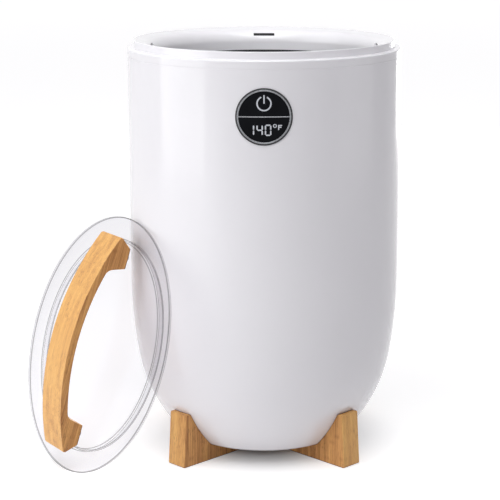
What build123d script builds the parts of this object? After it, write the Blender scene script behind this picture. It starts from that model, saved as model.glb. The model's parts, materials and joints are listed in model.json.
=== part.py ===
from build123d import *
import os
from math import atan2, cos, radians, sin, sqrt

# Towel warmer bucket, in millimetres.
# The origin is on the floor under the bucket's axis, +Z is up and the control panel faces -Y.
# The lid is off: it stands on its rim at the left front and leans on the bucket's wall.

os.makedirs("parts", exist_ok=True)

# ---------------------------------------------------------------- driving dimensions

# Bucket wall and bowl: a straight wall, then three arcs that turn it into the flat bottom
shell_radius = 150.0
shell_wall = 2.5
seam_height = 443.5
body_height_off_floor = 15.3
upper_bend_radius = 504.0
upper_bend = 9.8
middle_bend_radius = 169.0
middle_bend = 33.7
corner_bend_radius = 15.6
parting_chamfer = 0.35

# Top collar
band_height = 9.0
band_rounding = 1.6
lip_set_in = 7.0
lip_height = 8.5
lip_rounding = 0.8
mouth_rounding = 14.0
collar_width = 30.0
collar_wall = 2.5
funnel_drop = 5.5
throat_depth = 22.0
spigot_depth = 12.0
spigot_fit = 0.2
snap_height = 4.0
snap_bead_radius = 1.0
snap_bead_bury = 0.3
snap_fit = 0.25

# Slots in the mouth's wall and the pieces that fill them
slot_width = 24.5
slot_height = 3.0
slot_below_mouth = 0.9
slot_depth = 9.0
plug_set_back = 5.0
plug_fit = 0.1

# Pot, gasket and pot screws
gasket_thickness = 1.5
gasket_set_back = 0.8
pot_set_back = 6.0
pot_wall = 1.2
pot_corner_radius = 15.0
base_space = 79.7
flange_width = 14.0
pot_screw_count = 6
pot_screw_angle = 15.0
pot_screw_set_out = 6.0
pot_boss_radius = 3.5

# Heaters and the plate that clamps the lower one
film_thickness = 0.6
film_fit = 0.3
film_above_floor = 45.0
film_length = 190.0
wrap_thickness = 10.0
wrap_fit = 0.2
wrap_above_floor = 25.0
wrap_below_flange = 6.0
base_heater_margin = 21.0
base_heater_thickness = 4.0
clamp_plate_margin = 4.0
clamp_plate_thickness = 1.2
stud_radius = 3.0
stud_fit = 0.1
clamp_nut_across = 10.0
clamp_nut_height = 5.0
stud_beyond_nut = 3.0
sensor_circle = 45.0
thermostat_radius = 8.0
thermostat_height = 9.0
thermostat_ear_length = 25.0
thermostat_ear_thickness = 1.0
fuse_radius = 2.0
fuse_length = 13.0
fuse_fit = 0.1
clip_wall = 1.5
clip_length = 6.0
probe_radius = 2.6
probe_length = 14.0

# Bottom cover, its seat in the shell and its vents
floor_margin = 7.4
cover_thickness = 3.0
cover_fit = 0.2
ledge_width = 8.0
ledge_thickness = 3.0
cover_screw_count = 6
cover_boss_height = 7.0
cover_boss_radius = 3.6
vent_count = 5
vent_pitch = 7.0
vent_length = 20.0
vent_width = 3.0
vent_centre = 52.0

# Stand: two bars, halved into each other at the centre
stand_angle = 45.0
bar_width = 26.0
stand_height = 60.0
stand_set_in = 13.0
bar_end_lean = 4.0
cradle_gap = 0.3
halving_fit = 0.1
bar_edge_rounding = 1.2
stand_screw_margin = 7.0
stand_screw_sink = 6.0
stand_boss_radius = 5.0
stand_boss_height = 12.0

# Round control panel in the wall
panel_below_seam = 48.0
panel_radius = 29.4
panel_rim_width = 1.5
panel_proud = 0.6
panel_fit = 0.1
bezel_width = 1.7
bezel_thickness = 0.8
bezel_proud = 0.15
divider_width = 1.3
rim_overhang = 0.9
barrel_depth = 9.0
barrel_plate = 2.0
seat_width = 1.4
lens_thickness = 2.4
lens_fit = 0.08
retainer_width = 4.5
retainer_thickness = 2.0

# Power button and its switch
button_gap = 0.3
button_thickness = 2.2
button_travel = 1.0
button_stop_gap = 0.2
button_height_on_panel = 13.2
button_stem_radius = 2.5
guide_post_radius = 1.8
guide_post_fit = 0.07
guide_post_spread = 14.0
guide_post_height = 6.5
guide_post_beyond = 0.5
switch_size = 6.0
switch_height = 3.5
plunger_radius = 1.7
plunger_fit = 0.15
plunger_stroke_room = 0.7
plunger_hold = 1.2
plunger_above_switch = 1.5
switch_window_margin = 1.2

# Digits' module and the round board behind the panel
module_width = 26.0
module_height = 12.5
module_gap = 0.3
module_fit = 0.3
display_board_margin = 1.8
display_board_gap = 3.0
board_thickness = 1.6
display_boss_radius = 2.5
display_side_boss = 19.0
display_side_boss_drop = 4.0
display_top_boss = 21.0

# Main board and what is soldered to it
main_board_length = 90.0
main_board_width = 56.0
main_board_inset = 5.0
standoff_radius = 4.0
standoff_height = 12.0
relay_size = (19.0, 15.5, 15.0)
relay_chamfer = 1.0
transformer_size = (24.0, 20.0, 18.0)
terminal_size = (10.0, 30.0, 12.0)
component_inset = 18.0
terminal_ways = 3
terminal_pitch = 9.0
terminal_hole_radius = 1.6

# Mains cord entry at the back
gland_height_off_floor = 88.0
gland_boss_radius = 12.0
gland_boss_stand_out = 3.0
gland_boss_depth = 9.0
gland_body_radius = 7.0
gland_fit = 0.1
gland_flange_radius = 9.5
gland_flange_thickness = 3.0
gland_bore_radius = 3.6
gland_nut_thickness = 4.0
gland_nut_across = 16.0

# Lid
lid_set_in_from_lip = 1.2
lid_thickness = 3.5
lid_edge_rounding = 0.9
skirt_fit = 2.2
skirt_wall = 2.2
skirt_depth = 7.0

# Lid's handle
handle_width = 43.0
handle_peak = 42.0
handle_thickness = 8.5
handle_foot_length = 23.0
handle_foot_margin = 4.6
handle_overhang = 10.5
handle_end_height = 14.4
handle_inner_lean = 5.0
handle_inner_rounding = 10.0
handle_end_rounding = 2.0
handle_edge_rounding = 1.6
lid_screw_spread = 20.0
lid_screw_bite = 9.0
washer_radius = 5.0
washer_thickness = 0.8

# How the lid leans on the bucket
lid_facing = 34.2
lid_lean = 18.7
lid_touch = 30.3
lean_gap = 0.3
floor_gap = 0.3

# Screws: shank, head radius, head height
small_screw_shank = 1.1
small_screw_head = 2.0
small_screw_head_height = 1.4
screw_shank = 1.5
screw_head = 2.8
screw_head_height = 2.0
stand_screw_shank = 2.0
stand_screw_head = 4.0
stand_screw_head_height = 2.8
thread_fit = 0.05
shank_clearance = 0.2
driver_slot_width = 0.7
driver_slot_depth = 0.8

# ---------------------------------------------------------------- worked-out levels and radii

bend_end = upper_bend + middle_bend
upper_run = upper_bend_radius * (1 - cos(radians(upper_bend)))
middle_run = middle_bend_radius * (cos(radians(upper_bend)) - cos(radians(bend_end)))
corner_run = corner_bend_radius * cos(radians(bend_end))
upper_fall = upper_bend_radius * sin(radians(upper_bend))
middle_fall = middle_bend_radius * (sin(radians(bend_end)) - sin(radians(upper_bend)))
corner_fall = corner_bend_radius * (1 - sin(radians(bend_end)))
bowl_top = body_height_off_floor + upper_fall + middle_fall + corner_fall
middle_centre_radius = shell_radius - upper_run - middle_bend_radius * cos(radians(upper_bend))
middle_centre_height = bowl_top - upper_fall + middle_bend_radius * sin(radians(upper_bend))
flat_radius = shell_radius - upper_run - middle_run - corner_run
shell_bore = shell_radius - shell_wall

band_top = seam_height + band_height
crown = band_top + lip_height
lip_radius = shell_radius - lip_set_in
mouth_radius = shell_radius - collar_width
mouth_edge = crown - funnel_drop
throat_bottom = mouth_edge - throat_depth
funnel_slope = funnel_drop / (lip_radius - mouth_radius)
spigot_outer = shell_bore - spigot_fit
spigot_inner = spigot_outer - collar_wall
spigot_bottom = seam_height - spigot_depth

pot_flange_top = throat_bottom - gasket_thickness
pot_flange_bottom = pot_flange_top - pot_wall
pot_radius = mouth_radius + pot_set_back
pot_floor = body_height_off_floor + base_space
pot_flange_radius = pot_radius + flange_width
pot_screw_circle = pot_radius + pot_screw_set_out
base_heater_bottom = pot_floor - base_heater_thickness
base_heater_radius = pot_radius - pot_corner_radius - base_heater_margin
clamp_plate_radius = base_heater_radius + clamp_plate_margin
clamp_plate_bottom = base_heater_bottom - clamp_plate_thickness
film_outer = pot_radius + film_fit + film_thickness
wrap_inner = film_outer + wrap_fit
wrap_outer = wrap_inner + wrap_thickness

cover_radius = flat_radius - floor_margin
cover_top = body_height_off_floor + cover_thickness
ledge_inner = cover_radius - ledge_width
ledge_top = cover_top + ledge_thickness
cover_screw_circle = cover_radius - ledge_width / 2
stand_screw_circle = ledge_inner - stand_boss_radius - stand_screw_margin
board_bottom = cover_top + standoff_height
board_top = board_bottom + board_thickness
component_reach = main_board_length / 2 - component_inset

panel_height = seam_height - panel_below_seam
stand_reach = shell_radius - stand_set_in
lid_radius = lip_radius - lid_set_in_from_lip
skirt_outer = mouth_radius - skirt_fit
skirt_inner = skirt_outer - skirt_wall


# ---------------------------------------------------------------- shared shapes

def bucket_section(inset, top, lift=0.0):
    """Half section of the bucket's outer form, moved inward by inset and raised by lift."""
    with BuildSketch(Plane.XZ) as section:
        with BuildLine():
            wall = Line((shell_radius - inset, top), (shell_radius - inset, bowl_top + lift))
            upper = JernArc(wall @ 1, (0, -1), upper_bend_radius - inset, -upper_bend)
            middle = JernArc(upper @ 1, upper % 1, middle_bend_radius - inset, -middle_bend)
            corner = JernArc(middle @ 1, middle % 1, corner_bend_radius - inset, bend_end - 90)
            Polyline(corner @ 1, (0, (corner @ 1).Y), (0, top), wall @ 0)
        make_face()
    return section.sketch


def ring_section(inner, outer, low, high):
    """Half section of a plain ring about the bucket's axis."""
    with BuildSketch(Plane.XZ) as section:
        with Locations(((inner + outer) / 2, (low + high) / 2)):
            Rectangle(outer - inner, high - low)
    return section.sketch


def wall_layer(inner, outer):
    """Curved layer of the wall at the panel's height, between two radii."""
    reach = 2 * panel_radius
    with BuildPart() as layer:
        revolve(ring_section(inner, outer, panel_height - reach, panel_height + reach))
    return layer.part


def slot_arcs(inner, outer, low, high, width):
    """Four arc-shaped blocks at a quarter turn from each other."""
    with BuildPart() as arcs:
        with BuildSketch(Plane.XY.offset(low)):
            Rectangle(width, 3 * outer)
            Rectangle(3 * outer, width)
            Circle(outer, mode=Mode.INTERSECT)
            Circle(inner, mode=Mode.SUBTRACT)
        extrude(amount=high - low)
    return arcs.part


def screws(plane, spots, shank, length, head, head_height):
    """Screws with their heads under the plane and their shanks above it, one at each spot."""
    with BuildPart() as group:
        with BuildSketch(plane):
            with Locations(*spots):
                Circle(shank)
        extrude(amount=length)
        with BuildSketch(plane):
            with Locations(*spots):
                Circle(head)
        extrude(amount=-head_height)
        with BuildSketch(plane.offset(-head_height)):
            with Locations(*spots):
                Rectangle(1.3 * head, driver_slot_width)
                Rectangle(driver_slot_width, 1.3 * head)
        extrude(amount=driver_slot_depth, mode=Mode.SUBTRACT)
    return group.part


def ring_spots(count, circle, start=0.0):
    """Evenly spaced points on a circle."""
    turns = [radians(start + 360 / count * step) for step in range(count)]
    return [(circle * cos(turn), circle * sin(turn)) for turn in turns]


# ---------------------------------------------------------------- outer shell

gland_fall = middle_centre_height - gland_height_off_floor
wall_at_gland = middle_centre_radius + sqrt(middle_bend_radius**2 - gland_fall**2)
gland_boss_face = wall_at_gland + gland_boss_stand_out
snap_centre = (spigot_outer - snap_bead_bury, spigot_bottom + snap_height)
cover_screw_spots = ring_spots(cover_screw_count, cover_screw_circle)
gland_plane = Plane(origin=(0, gland_boss_face, gland_height_off_floor), x_dir=(-1, 0, 0), z_dir=(0, 1, 0))
panel_plane = Plane(origin=(0, 0, panel_height), x_dir=(1, 0, 0), z_dir=(0, -1, 0))
barrel_radius = panel_radius - rim_overhang

with BuildPart() as outer_shell:
    revolve(bucket_section(0, seam_height))
    revolve(bucket_section(shell_wall, seam_height), mode=Mode.SUBTRACT)
    # Inner ledge and screw bosses round the bottom opening
    with BuildSketch(Plane.XY.offset(body_height_off_floor)):
        Circle(flat_radius - shell_wall / 2)
    extrude(amount=ledge_top - body_height_off_floor)
    with BuildSketch(Plane.XY.offset(cover_top)):
        with Locations(*cover_screw_spots):
            Circle(cover_boss_radius)
    extrude(amount=ledge_thickness + cover_boss_height)
    with BuildSketch(Plane.XY.offset(body_height_off_floor)):
        Circle(cover_radius)
    extrude(amount=cover_thickness, mode=Mode.SUBTRACT)
    with BuildSketch(Plane.XY.offset(body_height_off_floor)):
        Circle(ledge_inner)
    extrude(amount=ledge_top - body_height_off_floor, mode=Mode.SUBTRACT)
    with BuildSketch(Plane.XY.offset(cover_top)):
        with Locations(*cover_screw_spots):
            Circle(screw_shank + thread_fit)
    extrude(amount=ledge_thickness + cover_boss_height - shell_wall, mode=Mode.SUBTRACT)
    # Flat-faced boss for the cord gland
    with BuildSketch(gland_plane):
        Circle(gland_boss_radius)
    extrude(amount=-gland_boss_depth)
    with BuildSketch(gland_plane):
        Circle(gland_body_radius + gland_fit)
    extrude(amount=-gland_boss_depth, mode=Mode.SUBTRACT)
    # Round hole for the control panel
    with BuildSketch(panel_plane):
        Circle(barrel_radius + panel_fit)
    extrude(amount=shell_radius + shell_wall, mode=Mode.SUBTRACT)
    # Groove that the collar's bead snaps into
    with BuildSketch(Plane.XZ):
        with Locations(snap_centre):
            Circle(snap_bead_radius + snap_fit)
    revolve(mode=Mode.SUBTRACT)
    top_rim = outer_shell.edges().filter_by(GeomType.CIRCLE).group_by(Axis.Z)[-1].sort_by(SortBy.RADIUS)[-1]
    chamfer(top_rim, parting_chamfer)
outer_shell.part.label = "outer_shell"
export_step(outer_shell.part, "parts/outer_shell.step")

# ---------------------------------------------------------------- top collar

pot_screw_spots = ring_spots(pot_screw_count, pot_screw_circle, pot_screw_angle)
boss_top = mouth_edge + funnel_slope * (pot_screw_circle - mouth_radius) - collar_wall / 2
slot_top = mouth_edge - slot_below_mouth
slot_bottom = slot_top - slot_height
throat_outer = mouth_radius + collar_wall
lip_inner = lip_radius - collar_wall

with BuildPart() as top_collar:
    with BuildSketch(Plane.XZ) as collar_section:
        with BuildLine():
            Polyline(
                (mouth_radius, throat_bottom),
                (mouth_radius, mouth_edge),
                (lip_radius, crown),
                (lip_radius, band_top),
                (shell_radius, band_top),
                (shell_radius, seam_height + parting_chamfer),
                (shell_radius - parting_chamfer, seam_height),
                (spigot_outer, seam_height),
                (spigot_outer, spigot_bottom),
                (spigot_inner, spigot_bottom),
                (spigot_inner, band_top - collar_wall),
                (lip_inner, band_top - collar_wall),
                (lip_inner, crown - funnel_slope * collar_wall - collar_wall),
                (throat_outer, mouth_edge + funnel_slope * collar_wall - collar_wall),
                (throat_outer, throat_bottom),
                close=True,
            )
        make_face()
        corners = collar_section.vertices()
        band_corner = corners.filter_by(lambda spot: abs(spot.X - shell_radius) < 0.01).sort_by(Axis.Y)[-1]
        lip_corner = corners.filter_by(lambda spot: abs(spot.X - lip_radius) < 0.01).sort_by(Axis.Y)[-1]
        mouth_corner = corners.filter_by(lambda spot: abs(spot.X - mouth_radius) < 0.01).sort_by(Axis.Y)[-1]
        throat_corner = corners.filter_by(lambda spot: abs(spot.X - throat_outer) < 0.01).sort_by(Axis.Y)[-1]
        fillet(band_corner, band_rounding)
        fillet(lip_corner, lip_rounding)
        fillet(mouth_corner, mouth_rounding)
        fillet(throat_corner, mouth_rounding - collar_wall)
    revolve()
    # Bead that snaps into the shell's groove
    with BuildSketch(Plane.XZ):
        with Locations(snap_centre):
            Circle(snap_bead_radius)
    revolve()
    # Bosses that take the pot's screws
    with BuildSketch(Plane.XY.offset(pot_flange_top)):
        with Locations(*pot_screw_spots):
            Circle(pot_boss_radius)
    extrude(amount=boss_top - pot_flange_top)
    with BuildSketch(Plane.XY.offset(pot_flange_top)):
        with Locations(*pot_screw_spots):
            Circle(screw_shank + thread_fit)
    extrude(amount=boss_top - pot_flange_top - pot_boss_radius, mode=Mode.SUBTRACT)
    add(slot_arcs(mouth_radius, mouth_radius + slot_depth, slot_bottom, slot_top, slot_width),
        mode=Mode.SUBTRACT)
top_collar.part.label = "top_collar"
export_step(top_collar.part, "parts/top_collar.step")

with BuildPart() as slot_plugs:
    add(slot_arcs(
        mouth_radius + plug_set_back,
        mouth_radius + slot_depth - plug_fit,
        slot_bottom + plug_fit,
        slot_top - plug_fit,
        slot_width - 2 * plug_fit,
    ))
slot_plugs.part.label = "slot_plugs"
export_step(slot_plugs.part, "parts/slot_plugs.step")

with BuildPart() as collar_gasket:
    gasket_inner = mouth_radius + gasket_set_back
    revolve(ring_section(gasket_inner, pot_radius + pot_wall, pot_flange_top, throat_bottom))
collar_gasket.part.label = "collar_gasket"
export_step(collar_gasket.part, "parts/collar_gasket.step")

# ---------------------------------------------------------------- pot and its screws

stud_length = base_heater_thickness + clamp_plate_thickness + clamp_nut_height + stud_beyond_nut

with BuildPart() as inner_pot:
    with BuildSketch(Plane.XY.offset(pot_floor)):
        Circle(pot_radius)
    extrude(amount=pot_flange_top - pot_floor)
    fillet(inner_pot.edges().sort_by(Axis.Z)[0], pot_corner_radius)
    with BuildSketch(Plane.XY.offset(pot_flange_bottom)):
        Circle(pot_flange_radius)
        with Locations(*pot_screw_spots):
            Circle(screw_shank + shank_clearance, mode=Mode.SUBTRACT)
    extrude(amount=pot_wall)
    with BuildSketch(Plane.XY.offset(pot_flange_top)):
        Circle(pot_radius - pot_wall)
    hollow = extrude(amount=pot_floor + pot_wall - pot_flange_top, mode=Mode.PRIVATE)
    floor_edge = hollow.edges().sort_by(Axis.Z)[0]
    add(hollow.fillet(pot_corner_radius - pot_wall, [floor_edge]), mode=Mode.SUBTRACT)
    # Stud welded under the floor
    with BuildSketch(Plane.XY.offset(pot_floor)):
        Circle(stud_radius)
    extrude(amount=-stud_length)
inner_pot.part.label = "inner_pot"
export_step(inner_pot.part, "parts/inner_pot.step")

with BuildPart() as pot_screws:
    bite = boss_top - pot_flange_top - pot_boss_radius - shank_clearance
    add(screws(Plane.XY.offset(pot_flange_bottom), pot_screw_spots, screw_shank, pot_wall + bite,
               screw_head, screw_head_height))
pot_screws.part.label = "pot_screws"
export_step(pot_screws.part, "parts/pot_screws.step")

# ---------------------------------------------------------------- heaters and insulation

with BuildPart() as heating_film:
    film_bottom = pot_floor + film_above_floor
    revolve(ring_section(pot_radius + film_fit, film_outer, film_bottom, film_bottom + film_length))
heating_film.part.label = "heating_film"
export_step(heating_film.part, "parts/heating_film.step")

with BuildPart() as insulation_wrap:
    wrap_bottom = pot_floor + wrap_above_floor
    wrap_top = pot_flange_bottom - wrap_below_flange
    revolve(ring_section(wrap_inner, wrap_outer, wrap_bottom, wrap_top))
    # Window that leaves room for the control panel
    with BuildSketch(panel_plane):
        Circle(panel_radius + retainer_width)
    extrude(amount=shell_radius, mode=Mode.SUBTRACT)
insulation_wrap.part.label = "insulation_wrap"
export_step(insulation_wrap.part, "parts/insulation_wrap.step")

with BuildPart() as base_heater:
    with BuildSketch(Plane.XY.offset(base_heater_bottom)):
        Circle(base_heater_radius)
        Circle(stud_radius + stud_fit, mode=Mode.SUBTRACT)
    extrude(amount=base_heater_thickness)
base_heater.part.label = "base_heater"
export_step(base_heater.part, "parts/base_heater.step")

with BuildPart() as heater_clamp_plate:
    with BuildSketch(Plane.XY.offset(clamp_plate_bottom)):
        Circle(clamp_plate_radius)
        Circle(stud_radius + stud_fit, mode=Mode.SUBTRACT)
    extrude(amount=clamp_plate_thickness)
heater_clamp_plate.part.label = "heater_clamp_plate"
export_step(heater_clamp_plate.part, "parts/heater_clamp_plate.step")

with BuildPart() as clamp_nut:
    with BuildSketch(Plane.XY.offset(clamp_plate_bottom)):
        RegularPolygon(clamp_nut_across / 2, 6, major_radius=False)
        Circle(stud_radius + thread_fit, mode=Mode.SUBTRACT)
    extrude(amount=-clamp_nut_height)
clamp_nut.part.label = "clamp_nut"
export_step(clamp_nut.part, "parts/clamp_nut.step")

# ---------------------------------------------------------------- heat safety under the pot

with BuildPart() as thermostat:
    with BuildSketch(Plane.XY.offset(clamp_plate_bottom)):
        with Locations((sensor_circle, 0)):
            SlotOverall(thermostat_ear_length, thermostat_radius, rotation=90)
    extrude(amount=-thermostat_ear_thickness)
    with BuildSketch(Plane.XY.offset(clamp_plate_bottom)):
        with Locations((sensor_circle, 0)):
            Circle(thermostat_radius)
    extrude(amount=-thermostat_height)
thermostat.part.label = "thermostat"
export_step(thermostat.part, "parts/thermostat.step")

fuse_axis = clamp_plate_bottom - clip_wall - fuse_fit - fuse_radius
fuse_plane = Plane(origin=(-sensor_circle, 0, fuse_axis), x_dir=(1, 0, 0), z_dir=(0, -1, 0))

with BuildPart() as thermal_fuse:
    with BuildSketch(fuse_plane):
        Circle(fuse_radius)
    extrude(amount=fuse_length / 2, both=True)
    chamfer(thermal_fuse.edges(), fuse_radius / 4)
thermal_fuse.part.label = "thermal_fuse"
export_step(thermal_fuse.part, "parts/thermal_fuse.step")

with BuildPart() as fuse_clip:
    with BuildSketch(fuse_plane):
        Rectangle(2 * (fuse_radius + fuse_fit + clip_wall), 2 * (fuse_radius + fuse_fit + clip_wall))
        Circle(fuse_radius + fuse_fit, mode=Mode.SUBTRACT)
    extrude(amount=clip_length / 2, both=True)
fuse_clip.part.label = "fuse_clip"
export_step(fuse_clip.part, "parts/fuse_clip.step")

with BuildPart() as temperature_sensor:
    probe_plane = Plane(origin=(0, sensor_circle, clamp_plate_bottom - probe_radius),
                        x_dir=(0, 1, 0), z_dir=(1, 0, 0))
    with BuildSketch(probe_plane):
        Circle(probe_radius)
        with Locations((0, probe_radius / 2)):
            Rectangle(3 * probe_radius, probe_radius)
    extrude(amount=probe_length / 2, both=True)
temperature_sensor.part.label = "temperature_sensor"
export_step(temperature_sensor.part, "parts/temperature_sensor.step")

# ---------------------------------------------------------------- bottom cover

stand_screw_spots = ring_spots(4, stand_screw_circle, stand_angle)
board_spots = [
    (side * (main_board_length / 2 - main_board_inset), end * (main_board_width / 2 - main_board_inset))
    for side in (-1, 1)
    for end in (-1, 1)
]

with BuildPart() as bottom_cover:
    with BuildSketch(Plane.XY.offset(body_height_off_floor)):
        Circle(cover_radius - cover_fit)
        with Locations((0, -vent_centre)):
            with GridLocations(vent_pitch, 0, vent_count, 1):
                SlotOverall(vent_length, vent_width, rotation=90, mode=Mode.SUBTRACT)
    extrude(amount=cover_thickness)
    with BuildSketch(Plane.XY.offset(cover_top)):
        with Locations(*board_spots):
            Circle(standoff_radius)
    extrude(amount=standoff_height)
    with BuildSketch(Plane.XY.offset(cover_top)):
        with Locations(*stand_screw_spots):
            Circle(stand_boss_radius)
    extrude(amount=stand_boss_height)
    with BuildSketch(Plane.XY.offset(board_bottom)):
        with Locations(*board_spots):
            Circle(screw_shank + thread_fit)
    extrude(amount=-standoff_height, mode=Mode.SUBTRACT)
    with BuildSketch(Plane.XY.offset(body_height_off_floor)):
        with Locations(*stand_screw_spots):
            Circle(stand_screw_shank + thread_fit)
    extrude(amount=cover_thickness + stand_boss_height - stand_boss_radius / 2, mode=Mode.SUBTRACT)
    with BuildSketch(Plane.XY.offset(body_height_off_floor)):
        with Locations(*cover_screw_spots):
            Circle(screw_shank + shank_clearance)
    extrude(amount=cover_thickness, mode=Mode.SUBTRACT)
bottom_cover.part.label = "bottom_cover"
export_step(bottom_cover.part, "parts/bottom_cover.step")

with BuildPart() as cover_screws:
    add(screws(Plane.XY.offset(body_height_off_floor), cover_screw_spots, screw_shank,
               cover_thickness + ledge_thickness + cover_boss_height - shell_wall - shank_clearance,
               screw_head, screw_head_height))
cover_screws.part.label = "cover_screws"
export_step(cover_screws.part, "parts/cover_screws.step")

# ---------------------------------------------------------------- bamboo stand


def stand_bar(turn):
    """One bar, cut to the bowl's form and drilled for its two screws."""
    lengthwise = (cos(radians(turn)), sin(radians(turn)), 0)
    side_plane = Plane(origin=(0, 0, 0), x_dir=lengthwise, z_dir=(lengthwise[1], -lengthwise[0], 0))
    with BuildPart() as bar:
        with BuildSketch(side_plane):
            with BuildLine():
                Polyline(
                    (-stand_reach, 0),
                    (stand_reach, 0),
                    (stand_reach - bar_end_lean, stand_height),
                    (bar_end_lean - stand_reach, stand_height),
                    close=True,
                )
            make_face()
        extrude(amount=bar_width / 2, both=True)
        end_edges = bar.edges().filter_by(lambda edge: abs(edge.center().Z - stand_height / 2) < 0.01)
        fillet(end_edges, bar_edge_rounding)
        revolve(bucket_section(-cradle_gap, seam_height, cradle_gap), mode=Mode.SUBTRACT)
        with BuildSketch(Plane.XY):
            with Locations(*ring_spots(2, stand_screw_circle, turn)):
                Circle(stand_screw_shank + shank_clearance)
        extrude(amount=stand_height, mode=Mode.SUBTRACT)
        with BuildSketch(Plane.XY):
            with Locations(*ring_spots(2, stand_screw_circle, turn)):
                Circle(stand_screw_head + shank_clearance)
        extrude(amount=stand_screw_sink, mode=Mode.SUBTRACT)
    return bar.part


def halving_cut(turn, low, high):
    """Room for the other bar where the two cross."""
    crosswise = (cos(radians(turn)), sin(radians(turn)), 0)
    with BuildPart() as cut:
        with BuildSketch(Plane(origin=(0, 0, low), x_dir=crosswise, z_dir=(0, 0, 1))):
            Rectangle(2 * bar_width, bar_width + 2 * halving_fit)
        extrude(amount=high - low)
    return cut.part


halving_level = body_height_off_floor / 2

with BuildPart() as stand_bar_lower:
    add(stand_bar(stand_angle))
    add(halving_cut(-stand_angle, halving_level, stand_height), mode=Mode.SUBTRACT)
stand_bar_lower.part.label = "stand_bar_lower"
export_step(stand_bar_lower.part, "parts/stand_bar_lower.step")

with BuildPart() as stand_bar_upper:
    add(stand_bar(-stand_angle))
    add(halving_cut(stand_angle, 0, halving_level), mode=Mode.SUBTRACT)
stand_bar_upper.part.label = "stand_bar_upper"
export_step(stand_bar_upper.part, "parts/stand_bar_upper.step")

with BuildPart() as stand_screws:
    screw_seat = stand_screw_sink
    screw_tip = cover_top + stand_boss_height - stand_boss_radius / 2 - shank_clearance
    add(screws(Plane.XY.offset(screw_seat), stand_screw_spots, stand_screw_shank, screw_tip - screw_seat,
               stand_screw_head, stand_screw_head_height))
stand_screws.part.label = "stand_screws"
export_step(stand_screws.part, "parts/stand_screws.step")

# ---------------------------------------------------------------- control panel

bezel_outer = panel_radius - panel_rim_width
window_radius = bezel_outer - bezel_width
rim_front = shell_radius + panel_proud
bezel_front = rim_front + bezel_proud
bezel_back = bezel_front - bezel_thickness
glass_front = bezel_front - bezel_proud
lens_back = glass_front - lens_thickness
button_back = glass_front - button_thickness
button_stop = button_back - button_travel - button_stop_gap
plate_front = shell_radius - barrel_depth
plate_back = plate_front - barrel_plate
display_board_front = plate_back - display_board_gap
display_board_radius = window_radius - display_board_margin
half_divider = divider_width / 2
module_centre = (0, -button_height_on_panel)
stem_centre = (0, button_height_on_panel)
post_spots = [(side * guide_post_spread, guide_post_height) for side in (-1, 1)]
display_screw_spots = [
    (-display_side_boss, -display_side_boss_drop),
    (display_side_boss, -display_side_boss_drop),
    (0, display_top_boss),
]


def half_disc(plane, radius, gap, side):
    """Half-moon of the panel above (side 1) or below (side -1) the divider."""
    with BuildSketch(plane) as moon:
        Circle(radius)
        with Locations((0, side * (gap - radius))):
            Rectangle(4 * radius, 2 * radius, mode=Mode.SUBTRACT)
    return moon.sketch


with BuildPart() as panel_housing:
    # Rim, lying on the shell's wall
    with BuildSketch(panel_plane):
        Circle(panel_radius)
    extrude(amount=shell_radius + panel_radius)
    add(wall_layer(shell_radius + panel_fit / 2, rim_front), mode=Mode.INTERSECT)
    # Barrel through the wall, closed by a plate
    with BuildSketch(panel_plane.offset(plate_back)):
        Circle(barrel_radius)
    barrel = extrude(amount=shell_radius + panel_radius - plate_back, mode=Mode.PRIVATE)
    add(barrel.intersect(wall_layer(0.5 * shell_radius, rim_front)))
    with BuildSketch(panel_plane.offset(plate_front)):
        Circle(window_radius)
    extrude(amount=shell_radius, mode=Mode.SUBTRACT)
    # Step for the bezel
    with BuildSketch(panel_plane):
        Circle(bezel_outer)
    step = extrude(amount=shell_radius + panel_radius, mode=Mode.PRIVATE)
    add(step.intersect(wall_layer(bezel_back, bezel_front + panel_radius)), mode=Mode.SUBTRACT)
    # Seats: the lens rests on the lower one, and the upper one stops the button
    seat_outer = (barrel_radius + window_radius) / 2
    for side, level in ((-1, lens_back), (1, button_stop)):
        moon = extrude(half_disc(panel_plane.offset(plate_back), seat_outer, half_divider, side),
                       amount=shell_radius - plate_back, mode=Mode.PRIVATE)
        hollow = extrude(
            half_disc(panel_plane.offset(plate_back), window_radius - seat_width, -half_divider, side),
            amount=shell_radius - plate_back, mode=Mode.PRIVATE)
        add((moon - hollow).intersect(wall_layer(0.5 * shell_radius, level)))
    # Openings in the plate: guide posts, switch, digits' module
    with BuildSketch(panel_plane.offset(plate_back)):
        with Locations(*post_spots):
            Circle(guide_post_radius + guide_post_fit)
        with Locations(stem_centre):
            Circle(switch_size / sqrt(2) + switch_window_margin)
        with Locations(module_centre):
            Rectangle(module_width + 2 * module_fit, module_height + 2 * module_fit)
    extrude(amount=barrel_plate, mode=Mode.SUBTRACT)
    # Bosses behind the plate that carry the round board
    with BuildSketch(panel_plane.offset(display_board_front)):
        with Locations(*display_screw_spots):
            Circle(display_boss_radius)
            Circle(small_screw_shank + thread_fit, mode=Mode.SUBTRACT)
    extrude(amount=display_board_gap)
panel_housing.part.label = "panel_housing"
export_step(panel_housing.part, "parts/panel_housing.step")

with BuildPart() as display_bezel:
    with BuildSketch(panel_plane):
        Circle(bezel_outer - panel_fit)
        Circle(window_radius, mode=Mode.SUBTRACT)
        Rectangle(2 * window_radius + bezel_width, divider_width)
    extrude(amount=shell_radius + panel_radius)
    add(wall_layer(bezel_back, bezel_front), mode=Mode.INTERSECT)
display_bezel.part.label = "display_bezel"
export_step(display_bezel.part, "parts/display_bezel.step")

with BuildPart() as display_lens:
    extrude(half_disc(panel_plane, window_radius - lens_fit, half_divider + lens_fit, -1),
            amount=shell_radius + panel_radius)
    add(wall_layer(lens_back, glass_front), mode=Mode.INTERSECT)
display_lens.part.label = "display_lens"
export_step(display_lens.part, "parts/display_lens.step")

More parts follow.
